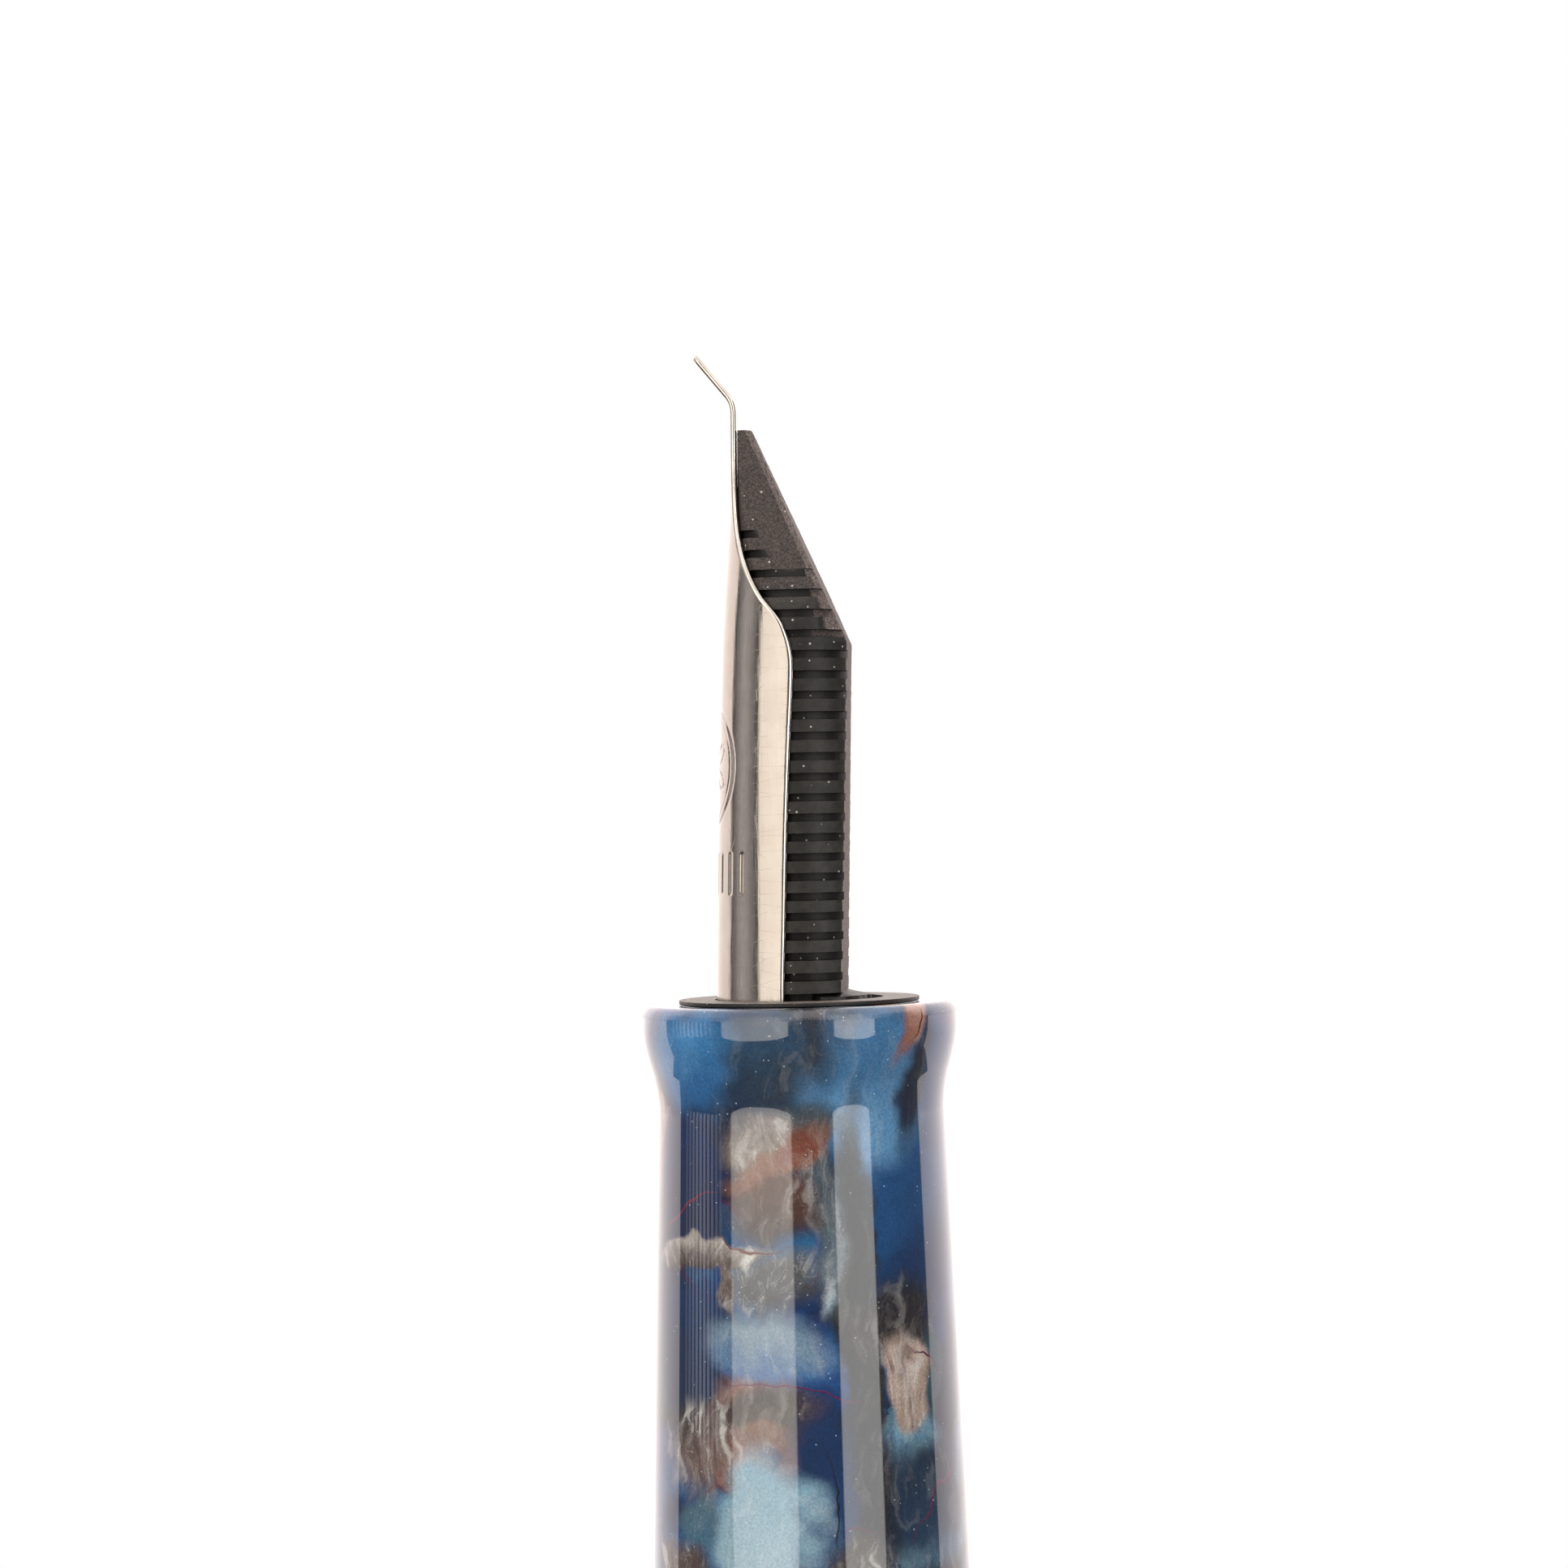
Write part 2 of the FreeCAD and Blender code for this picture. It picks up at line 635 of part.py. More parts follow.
def make_clip():
    """Sprung steel strap from the knuckle along the cap to a turned-up tongue."""
    x, z = CLIP_PIVOT
    t = CLIP_THICK
    bow_x = -9.35  # inner face at the shoulder
    shoulder_z = SHELL_Z + 3.5
    touch_z = 48.0
    touch_x = -cap_radius(touch_z) - 0.2
    strap = outline(
        (x - 0.45, z - 0.45),
        (x - 0.2, z + 0.45),
        (bow_x, shoulder_z, bow_x + 0.55, z + 1.6),
        (bow_x + 0.25, touch_z - 8),
        (touch_x, touch_z, touch_x - 0.35, touch_z - 3.2),
        (touch_x - 0.9, touch_z + 3.0, touch_x - 0.2, touch_z + 1.7),
        (touch_x - 0.9 - t, touch_z + 3.0 - 0.3),
        (touch_x - t, touch_z, touch_x - 0.25 - t, touch_z + 1.4),
        (bow_x + 0.25 - t, touch_z - 8, touch_x - 0.5 - t, touch_z - 3.6),
        (bow_x - t, shoulder_z),
        (x - 0.45, z - 0.45, bow_x + 0.1 - t, z + 0.9),
    ).extrude(Vector(0, 4.4, 0))
    strap.translate(Vector(0, -2.2, 0))
    plan = plan_prism(
        [(-1.9, 0), (1.9, 0), (2.0, shoulder_z), (1.35, touch_z + 5), (-1.35, touch_z + 5), (-2.0, shoulder_z)],
        20,
    )
    knuckle = Part.makeCylinder(CLIP_KNUCKLE_R, 3.8, Vector(x, -1.9, z), Vector(0, 1, 0))
    return strap.common(plan).fuse(knuckle)


PIECES = {
    "barrel": make_barrel,
    "barrel_thread_bush": make_barrel_bush,
    "tail_ring": make_tail_ring,
    "tail_finial": make_tail_finial,
    "section_ring": make_section_ring,
    "section": make_section,
    "section_tenon": make_section_tenon,
    "nib_gasket": make_nib_gasket,
    "nib_housing": make_nib_housing,
    "feed": make_feed,
    "nib": make_nib,
    "nib_tipping": make_nib_tipping,
    "converter_tube": make_converter_tube,
    "converter_collar": make_converter_collar,
    "converter_knob": make_converter_knob,
    "converter_rod": make_converter_rod,
    "converter_seal": make_converter_seal,
    "agitator_ball": make_agitator_ball,
    "cap_shell": make_cap_shell,
    "cap_band": make_cap_band,
    "cap_liner": make_cap_liner,
    "cap_finial": make_cap_finial,
    "finial_screw": make_finial_screw,
    "clip_ring": make_clip_ring,
    "clip": make_clip,
}

os.makedirs("parts", exist_ok=True)
for node, make in PIECES.items():
    shape = make()
    shape.exportStep(f"parts/{node}.step")
    print(f"{node}: valid {shape.isValid()}, {len(shape.Solids)} solid(s), {shape.Volume:.2f} mm3")
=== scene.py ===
"""Fountain pen standing nib up on its posted cap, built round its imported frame."""

import math

import bmesh
import bpy
from mathutils import Matrix, Vector, noise


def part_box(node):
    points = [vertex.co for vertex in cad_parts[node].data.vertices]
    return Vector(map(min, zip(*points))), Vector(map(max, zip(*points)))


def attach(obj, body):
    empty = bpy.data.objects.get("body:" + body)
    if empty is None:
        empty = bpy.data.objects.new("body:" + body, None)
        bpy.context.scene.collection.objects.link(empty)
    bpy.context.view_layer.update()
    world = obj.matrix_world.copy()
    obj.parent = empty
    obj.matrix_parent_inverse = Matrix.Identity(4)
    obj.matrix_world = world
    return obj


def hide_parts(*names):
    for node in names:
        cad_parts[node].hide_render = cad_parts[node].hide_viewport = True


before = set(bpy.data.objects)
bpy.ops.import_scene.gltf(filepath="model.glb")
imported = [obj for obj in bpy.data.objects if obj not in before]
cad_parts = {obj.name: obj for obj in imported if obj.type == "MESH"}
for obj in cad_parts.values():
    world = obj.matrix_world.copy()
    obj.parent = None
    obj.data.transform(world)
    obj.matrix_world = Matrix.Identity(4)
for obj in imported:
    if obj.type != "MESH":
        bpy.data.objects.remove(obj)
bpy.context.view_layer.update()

# ---- Grip section ----------------------------------------------------------------------------------
# The part that the fingers hold. It is turned from a rod of cast resin with pearl chips, polished, and
# bored for the nib unit at the front and the threaded tenon at the back.

MM = 0.001


def low(node):
    """Height of a node's lowest point, in millimetres."""
    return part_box(node)[0].z / MM


def high(node):
    """Height of a node's highest point, in millimetres."""
    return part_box(node)[1].z / MM


LIP = high("section")
LIP_FACE = LIP + 0.1  # the polished lip stands a little proud
SECTION_BACK = low("section")
BACK_R = 6.0
SECTION_BORE_R = 3.9
GASKET_SEAT_R = 4.37
TENON_ROOT_R = 4.9


def arc(start, middle, end, steps=14):
    """Points on the circle through three points, from just after the first to the last."""
    (ax, ay), (bx, by), (cx, cy) = start, middle, end
    d = 2 * (ax * (by - cy) + bx * (cy - ay) + cx * (ay - by))
    a2, b2, c2 = ax * ax + ay * ay, bx * bx + by * by, cx * cx + cy * cy
    ox = (a2 * (by - cy) + b2 * (cy - ay) + c2 * (ay - by)) / d
    oy = (a2 * (cx - bx) + b2 * (ax - cx) + c2 * (bx - ax)) / d
    radius = math.hypot(ax - ox, ay - oy)
    first = math.atan2(ay - oy, ax - ox)
    through = (math.atan2(by - oy, bx - ox) - first) % math.tau
    sweep = (math.atan2(cy - oy, cx - ox) - first) % math.tau
    if through > sweep:
        sweep -= math.tau
    turns = [first + sweep * i / steps for i in range(1, steps + 1)]
    return [(ox + radius * math.cos(t), oy + radius * math.sin(t)) for t in turns]


def rounded(points, size, steps=4):
    """A closed outline with each clear corner rounded off. Corners on the axis stay sharp."""
    out = []
    count = len(points)
    for i, point in enumerate(points):
        here, before, after = Vector(point), Vector(points[i - 1]), Vector(points[(i + 1) % count])
        to_before, to_after = before - here, after - here
        if here.x < 1e-6 or to_before.angle(to_after, math.pi) > math.radians(150):
            out.append(tuple(here))
            continue
        cut = min(size, 0.45 * to_before.length, 0.45 * to_after.length)
        a = here + to_before.normalized() * cut
        b = here + to_after.normalized() * cut
        for k in range(steps + 1):
            t = k / steps
            out.append(tuple(a * (1 - t) ** 2 + here * 2 * t * (1 - t) + b * t**2))
    return out


def piece(name, body, points, faces, crease=35, slots=()):
    """A mesh from points in millimetres that rides on a body. Slots says which material a face takes."""
    mesh = bpy.data.meshes.new(name)
    mesh.from_pydata([(x * MM, y * MM, z * MM) for x, y, z in points], [], faces)
    for face, slot in zip(mesh.polygons, slots):
        face.material_index = slot
    work = bmesh.new()
    work.from_mesh(mesh)
    bmesh.ops.remove_doubles(work, verts=work.verts, dist=1e-8)
    bmesh.ops.delete(work, geom=[v for v in work.verts if not v.link_faces], context="VERTS")
    bmesh.ops.recalc_face_normals(work, faces=work.faces)
    work.to_mesh(mesh)
    work.free()
    mesh.shade_smooth()
    mesh.set_sharp_from_angle(angle=math.radians(crease))
    made = bpy.data.objects.new(name, mesh)
    bpy.context.scene.collection.objects.link(made)
    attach(made, body)
    return made


def supported(outline):
    """The outline with extra points on its long straight parts, so that shading there stays true."""
    out = []
    for start, end in zip(outline, outline[1:] + outline[:1]):
        out.append(start)
        a, b = Vector(start), Vector(end)
        length = (b - a).length
        if length > 0.7:
            stops = [0.06 / length, *(i / 6 for i in range(1, 6)), 1 - 0.06 / length]
            out += [tuple(a.lerp(b, t)) for t in stops]
    return out


def turned(name, body, outline, around=192, shape=None, crease=35):
    """A piece turned about the pen's axis from a closed outline of (radius, height). shape(angle, r, z)
    gives a changed radius where the surface isn't round, such as at a thread."""
    points, rings, faces = [], [], []
    for r, z in supported(outline):
        if r < 1e-6:
            rings.append([len(points)] * around)
            points.append((0, 0, z))
            continue
        rings.append(range(len(points), len(points) + around))
        for i in range(around):
            angle = math.tau * i / around
            radius = shape(angle, r, z) if shape else r
            points.append((radius * math.cos(angle), radius * math.sin(angle), z))
    for ring, following in zip(rings, rings[1:] + rings[:1]):
        if ring[0] == ring[-1] and following[0] == following[-1]:
            continue
        for i in range(around):
            j = (i + 1) % around
            corners = (ring[i], ring[j], following[j], following[i])
            faces.append(tuple(dict.fromkeys(corners)))
    return piece(name, body, points, faces, crease)


quarter_turn = [math.radians(90 * i / 14) for i in range(15)]
flare = (
    [(5.50 + 0.38 * math.sin(t), LIP_FACE - 0.52 + 0.52 * math.cos(t)) for t in quarter_turn]
    + arc((5.88, LIP_FACE - 0.52), (5.87, LIP - 0.95), (5.80, LIP - 1.42))
    + arc((5.80, LIP - 1.42), (5.67, LIP - 1.95), (5.525, LIP - 2.45))
    + arc((5.525, LIP - 2.45), (5.405, LIP - 3.05), (5.335, LIP - 3.85))
)
section = turned(
    "grip_section",
    "section",
    flare
    + rounded(
        [
            (BACK_R, SECTION_BACK),
            (TENON_ROOT_R, SECTION_BACK),
            (TENON_ROOT_R, SECTION_BACK + 6),
            (SECTION_BORE_R, SECTION_BACK + 6),
            (SECTION_BORE_R, LIP - 0.5),
            (GASKET_SEAT_R, LIP - 0.5),
            (GASKET_SEAT_R, LIP_FACE),
        ],
        0.05,
    ),
    around=256,
)
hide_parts("section")


def linear(code):
    """Linear colour of an sRGB hex value."""
    parts = [int(code[i : i + 2], 16) / 255 for i in (1, 3, 5)]
    return [c / 12.92 if c <= 0.04045 else ((c + 0.055) / 1.055) ** 2.4 for c in parts] + [1.0]


def add(tree, kind, inputs=None, **settings):
    """Adds a node. Settings are its own properties. Inputs are its sockets by number or name, each with an
    output to link, a value to set, or a colour as a hex value."""
    node = tree.nodes.new("ShaderNode" + kind)
    for key, value in settings.items():
        setattr(node, key, value)
    for key, value in (inputs or {}).items():
        if isinstance(value, bpy.types.NodeSocket):
            tree.links.new(value, node.inputs[key])
        else:
            node.inputs[key].default_value = linear(value) if isinstance(value, str) else value
    return node


def new_material(name):
    """An empty material: its tree, its shader, and its place on the object in millimetres."""
    material = bpy.data.materials.new(name)
    material.use_nodes = True
    tree = material.node_tree
    shader = tree.nodes["Principled BSDF"]
    place = add(tree, "TexCoord").outputs["Object"]
    in_mm = add(tree, "VectorMath", {0: place, "Scale": 1000.0}, operation="SCALE").outputs[0]
    return material, tree, shader, in_mm


def paint(made, *materials):
    """Gives an object its materials, whatever slots it had."""
    kept = [face.material_index for face in made.data.polygons]
    made.data.materials.clear()
    for material in materials:
        made.data.materials.append(material)
    if len(materials) > 1:
        made.data.polygons.foreach_set("material_index", kept)


# Cast resin: clear acrylic poured over flakes of pearl pigment, then polished. The eye sees glossy depth:
# satin royal blue, pale pearl with fine grain, streaked copper, near-black hollows and thin wine-red seams.
NAVY, ROYAL, STEEL_BLUE, MID_BLUE = "#0c2247", "#113a70", "#245c88", "#41729c"
PEARL, ICE, TEAL, SLATE = "#84959c", "#80a5b5", "#22424f", "#44535c"
UMBER, COPPER, ROSE, BLACK = "#33282a", "#80493a", "#a37d6e", "#1b181b"
SEAM = "#50143a"


def cast_resin(name, chips, offset):
    """Resin with a random bed of chips and, over it, chips that lie in known places. A chip is (turn from
    the front in degrees, depth below the lip, width, height, tilt, softness of its edge, colour of its
    lower and upper end, and how strongly upright and slanting streaks show in it)."""
    material, tree, shader, in_mm = new_material(name)
    shifted = add(tree, "VectorMath", {0: in_mm, 1: offset}, operation="ADD").outputs[0]
    bent = shifted
    for scale, reach in ((0.3, 2.4), (1.0, 0.6), (8.0, 0.1)):
        wave = add(tree, "TexNoise", {"Vector": shifted, "Scale": scale, "Detail": 2.0}).outputs["Color"]
        wave = add(tree, "VectorMath", {0: wave, 1: (0.5,) * 3}, operation="SUBTRACT").outputs[0]
        calm = bent
        bent = add(
            tree, "VectorMath", {0: wave, 1: (reach,) * 3, 2: bent}, operation="MULTIPLY_ADD"
        ).outputs[0]
    clouds = add(
        tree, "TexNoise", {"Vector": bent, "Scale": 0.55, "Detail": 4.0, "Roughness": 0.6}
    ).outputs[0]

    # The bed: cells about 6 mm across, each of one pigment.
    fuzz = add(
        tree, "TexNoise", {"Vector": in_mm, "Scale": 5.0, "Detail": 4.0, "Roughness": 0.8}
    ).outputs["Color"]
    fuzz = add(tree, "VectorMath", {0: fuzz, 1: (0.5,) * 3}, operation="SUBTRACT").outputs[0]
    bed = add(tree, "VectorMath", {0: fuzz, 1: (0.9,) * 3, 2: bent}, operation="MULTIPLY_ADD").outputs[0]
    cells = add(tree, "TexVoronoi", {"Vector": bed, "Scale": 0.18}, feature="F1")
    edge = add(
        tree, "TexVoronoi", {"Vector": calm, "Scale": 0.18}, feature="DISTANCE_TO_EDGE"
    ).outputs["Distance"]
    choice = add(tree, "SeparateColor", {0: cells.outputs["Color"]}).outputs
    pigments = [
        (ROYAL, NAVY, (0.03, 0.03)),
        (UMBER, BLACK, (0.22, 0.08)),
        (STEEL_BLUE, ROYAL, (0.03, 0.06)),
        (ICE, MID_BLUE, (0.08, 0.12)),
        (NAVY, TEAL, (0.03, 0.03)),
        (COPPER, ROSE, (0.45, 0.15)),
        (ROYAL, STEEL_BLUE, (0.03, 0.03)),
        (SLATE, PEARL, (0.08, 0.55)),
        (NAVY, ROYAL, (0.03, 0.03)),
        (MID_BLUE, ICE, (0.05, 0.2)),
    ]
    ramps = []
    for which in range(3):
        ramp = add(tree, "ValToRGB", {0: choice[0]})
        ramp.color_ramp.interpolation = "CONSTANT"
        for i, pigment in enumerate(pigments):
            stops = ramp.color_ramp.elements
            stop = stops[i] if i < 2 else stops.new(i / len(pigments))
            stop.position = i / len(pigments)
            value = pigment[which]
            stop.color = linear(value) if which < 2 else (*value, 0, 1)
        ramps.append(ramp.outputs[0])
    colour = add(
        tree,
        "Mix",
        {
            0: add(
                tree,
                "MapRange",
                {"Value": clouds, "From Min": 0.38, "From Max": 0.64},
                interpolation_type="SMOOTHSTEP",
            ).outputs[0],
            6: ramps[0],
            7: ramps[1],
        },
        data_type="RGBA",
    ).outputs[2]
    streaky = ramps[2]
    hollow = add(tree, "TexNoise", {"Vector": shifted, "Scale": 0.22, "Detail": 1.0}).outputs[0]
    deep = add(
        tree,
        "Math",
        {
            0: add(
                tree,
                "MapRange",
                {"Value": edge, "From Min": 0.16, "From Max": 0.0},
                interpolation_type="SMOOTHSTEP",
            ).outputs[0],
            1: add(
                tree,
                "MapRange",
                {"Value": hollow, "From Min": 0.42, "From Max": 0.62},
                interpolation_type="SMOOTHSTEP",
            ).outputs[0],
        },
        operation="MULTIPLY",
    ).outputs[0]
    colour = add(
        tree,
        "Mix",
        {0: add(tree, "Math", {0: deep, 1: 0.8}, operation="MULTIPLY").outputs[0], 6: colour, 7: BLACK},
        data_type="RGBA",
    ).outputs[2]
    thread = add(
        tree,
        "Math",
        {
            0: add(
                tree,
                "MapRange",
                {"Value": edge, "From Min": 0.02, "From Max": 0.004},
                interpolation_type="SMOOTHSTEP",
            ).outputs[0],
            1: add(
                tree,
                "MapRange",
                {"Value": hollow, "From Min": 0.5, "From Max": 0.44},
                interpolation_type="SMOOTHSTEP",
            ).outputs[0],
        },
        operation="MULTIPLY",
    ).outputs[0]
    colour = add(tree, "Mix", {0: thread, 6: colour, 7: SEAM}, data_type="RGBA").outputs[2]

    # The placed chips, each a soft-edged ellipsoid in the bent space, laid one over another.
    spaces = [
        add(tree, "VectorMath", {0: v, 1: offset}, operation="SUBTRACT").outputs[0]
        for v in (calm, bent)
    ]
    drift = add(tree, "Math", {0: clouds, 1: 2.4, 2: -1.2}, operation="MULTIPLY_ADD").outputs[0]
    for turn, depth, width, height, tilt, soft, lower, upper, upright, slanting in chips:
        angle = math.radians(turn + FRONT_TURN)
        centre = (4.9 * math.sin(angle), -4.9 * math.cos(angle), LIP - depth)
        local = add(
            tree,
            "Mapping",
            {
                "Vector": spaces[min(width, height) > 0.3],
                "Location": centre,
                "Rotation": (0, math.radians(-tilt), angle),
                "Scale": (width / 2, 2.4, height / 2),
            },
            vector_type="TEXTURE",
        ).outputs[0]
        away = add(tree, "VectorMath", {0: local}, operation="LENGTH").outputs["Value"]
        over = add(
            tree,
            "MapRange",
            {"Value": away, "From Min": 1 + soft, "From Max": 1 - soft},
            interpolation_type="SMOOTHSTEP",
        ).outputs[0]
        along = add(
            tree, "Math", {0: add(tree, "SeparateXYZ", {0: local}).outputs[2], 1: drift}, operation="ADD"
        ).outputs[0]
        colour = add(
            tree,
            "Mix",
            {
                0: over,
                6: colour,
                7: add(
                    tree,
                    "Mix",
                    {
                        0: add(
                            tree,
                            "MapRange",
                            {"Value": along, "From Min": -0.9, "From Max": 0.9},
                            interpolation_type="SMOOTHSTEP",
                        ).outputs[0],
                        6: lower,
                        7: upper,
                    },
                    data_type="RGBA",
                ).outputs[2],
            },
            data_type="RGBA",
        ).outputs[2]
        streaky = add(
            tree, "Mix", {0: over, 6: streaky, 7: (upright, slanting, 0, 1)}, data_type="RGBA"
        ).outputs[2]

    # Pearl streaks, like creased satin: pale ridges and brown hollows drawn out one way or another.
    amounts = add(tree, "SeparateColor", {0: streaky}).outputs
    for which, turned_by in ((0, (0.15, 0.25, 0.1)), (1, (0.2, 1.15, 0.1))):
        drawn = add(
            tree, "Mapping", {"Vector": bent, "Rotation": turned_by, "Scale": (1.9, 1.9, 0.32)}
        ).outputs[0]
        crease = add(
            tree,
            "TexNoise",
            {"Vector": drawn, "Scale": 1.0, "Detail": 2.5, "Roughness": 0.5, "Distortion": 0.35},
        ).outputs[0]
        pale = add(
            tree,
            "Math",
            {
                0: add(
                    tree,
                    "MapRange",
                    {"Value": crease, "From Min": 0.52, "From Max": 0.68},
                    interpolation_type="SMOOTHSTEP",
                ).outputs[0],
                1: amounts[which],
            },
            operation="MULTIPLY",
        ).outputs[0]
        colour = add(
            tree,
            "Mix",
            {
                0: add(tree, "Math", {0: pale, 1: 0.8}, operation="MULTIPLY").outputs[0],
                6: colour,
                7: "#d8d6d2",
            },
            data_type="RGBA",
        ).outputs[2]
        fold = add(
            tree,
            "Math",
            {0: add(tree, "Math", {0: crease, 1: 0.5}, operation="SUBTRACT").outputs[0]},
            operation="ABSOLUTE",
        ).outputs[0]
        ridge = add(
            tree,
            "Math",
            {
                0: add(
                    tree,
                    "MapRange",
                    {"Value": fold, "From Min": 0.022, "From Max": 0.0},
                    interpolation_type="SMOOTHSTEP",
                ).outputs[0],
                1: amounts[which],
            },
            operation="MULTIPLY",
        ).outputs[0]
        colour = add(
            tree,
            "Mix",
            {
                0: add(tree, "Math", {0: ridge, 1: 0.16}, operation="MULTIPLY").outputs[0],
                6: colour,
                7: "#efeeea",
            },
            data_type="RGBA",
        ).outputs[2]
        brown = add(
            tree,
            "Math",
            {
                0: add(
                    tree,
                    "MapRange",
                    {"Value": crease, "From Min": 0.44, "From Max": 0.3},
                    interpolation_type="SMOOTHSTEP",
                ).outputs[0],
                1: amounts[which],
            },
            operation="MULTIPLY",
        ).outputs[0]
        colour = add(
            tree,
            "Mix",
            {
                0: add(tree, "Math", {0: brown, 1: 0.55}, operation="MULTIPLY").outputs[0],
                6: colour,
                7: UMBER,
            },
            data_type="RGBA",
        ).outputs[2]

    # Fine grain of the pigment, and single flakes that catch the light.
    grain = add(
        tree, "TexNoise", {"Vector": in_mm, "Scale": 11.0, "Detail": 2.0, "Roughness": 0.7}
    ).outputs[0]
    grain = add(
        tree,
        "MapRange",
        {"Value": grain, "From Min": 0.28, "From Max": 0.72, "To Min": 0.7, "To Max": 1.3},
        interpolation_type="SMOOTHSTEP",
    ).outputs[0]
    grainy = add(
        tree,
        "Mix",
        {0: 1.0, 6: colour, 7: add(tree, "CombineColor", {0: grain, 1: grain, 2: grain}).outputs[0]},
        data_type="RGBA",
        blend_type="MULTIPLY",
    ).outputs[2]
    colour = add(tree, "Mix", {0: 0.6, 6: colour, 7: grainy}, data_type="RGBA").outputs[2]
    flecks = add(tree, "TexVoronoi", {"Vector": in_mm, "Scale": 6.0}, feature="F1")
    fleck_size = add(tree, "SeparateColor", {0: flecks.outputs["Color"]}).outputs[1]
    fleck = add(
        tree,
        "Math",
        {
            0: flecks.outputs["Distance"],
            1: add(
                tree,
                "MapRange",
                {"Value": fleck_size, "From Min": 0.85, "From Max": 1.0, "To Min": 0.0, "To Max": 0.2},
                interpolation_type="SMOOTHSTEP",
            ).outputs[0],
        },
        operation="LESS_THAN",
    ).outputs[0]
    colour = add(
        tree,
        "Mix",
        {
            0: add(tree, "Math", {0: fleck, 1: 0.45}, operation="MULTIPLY").outputs[0],
            6: colour,
            7: "#d9e4ea",
        },
        data_type="RGBA",
    ).outputs[2]
    tree.links.new(colour, shader.inputs["Base Color"])

    # The lip's rounded edge is left as turned: less glossy, ringed by the tool, with dust in the rings.
    height = add(tree, "SeparateXYZ", {0: in_mm}).outputs[2]
    turned_edge = add(
        tree,
        "MapRange",
        {"Value": height, "From Min": LIP - 0.36, "From Max": LIP - 0.28},
        interpolation_type="SMOOTHSTEP",
    ).outputs[0]
    haze = add(tree, "TexNoise", {"Vector": in_mm, "Scale": 0.9, "Detail": 3.0}).outputs[0]
    gloss = add(
        tree,
        "MapRange",
        {"Value": haze, "From Min": 0.3, "From Max": 0.7, "To Min": 0.05, "To Max": 0.09},
        interpolation_type="SMOOTHSTEP",
    ).outputs[0]
    tree.links.new(
        add(tree, "Math", {0: turned_edge, 1: 0.2, 2: gloss}, operation="MULTIPLY_ADD").outputs[0],
        shader.inputs["Roughness"],
    )
    tree.links.new(
        add(tree, "Math", {0: turned_edge, 1: 0.2, 2: 0.02}, operation="MULTIPLY_ADD").outputs[0],
        shader.inputs["Coat Roughness"],
    )
    rings = add(tree, "VectorMath", {0: in_mm, 1: (1.2, 1.2, 14.0)}, operation="MULTIPLY").outputs[0]
    rings = add(tree, "TexNoise", {"Vector": rings, "Scale": 1.0, "Detail": 3.0}).outputs[0]
    relief = add(
        tree,
        "Math",
        {0: add(tree, "Math", {0: rings, 1: grain}, operation="ADD").outputs[0], 1: turned_edge},
        operation="MULTIPLY",
    ).outputs[0]
    bump = add(tree, "Bump", {"Height": relief, "Strength": 0.5, "Distance": 0.00001})
    tree.links.new(bump.outputs[0], shader.inputs["Normal"])
    tree.links.new(bump.outputs[0], shader.inputs["Coat Normal"])
    shader.inputs["IOR"].default_value = 1.5
    shader.inputs["Coat Weight"].default_value = 1.0
    shader.inputs["Coat IOR"].default_value = 1.5
    return material


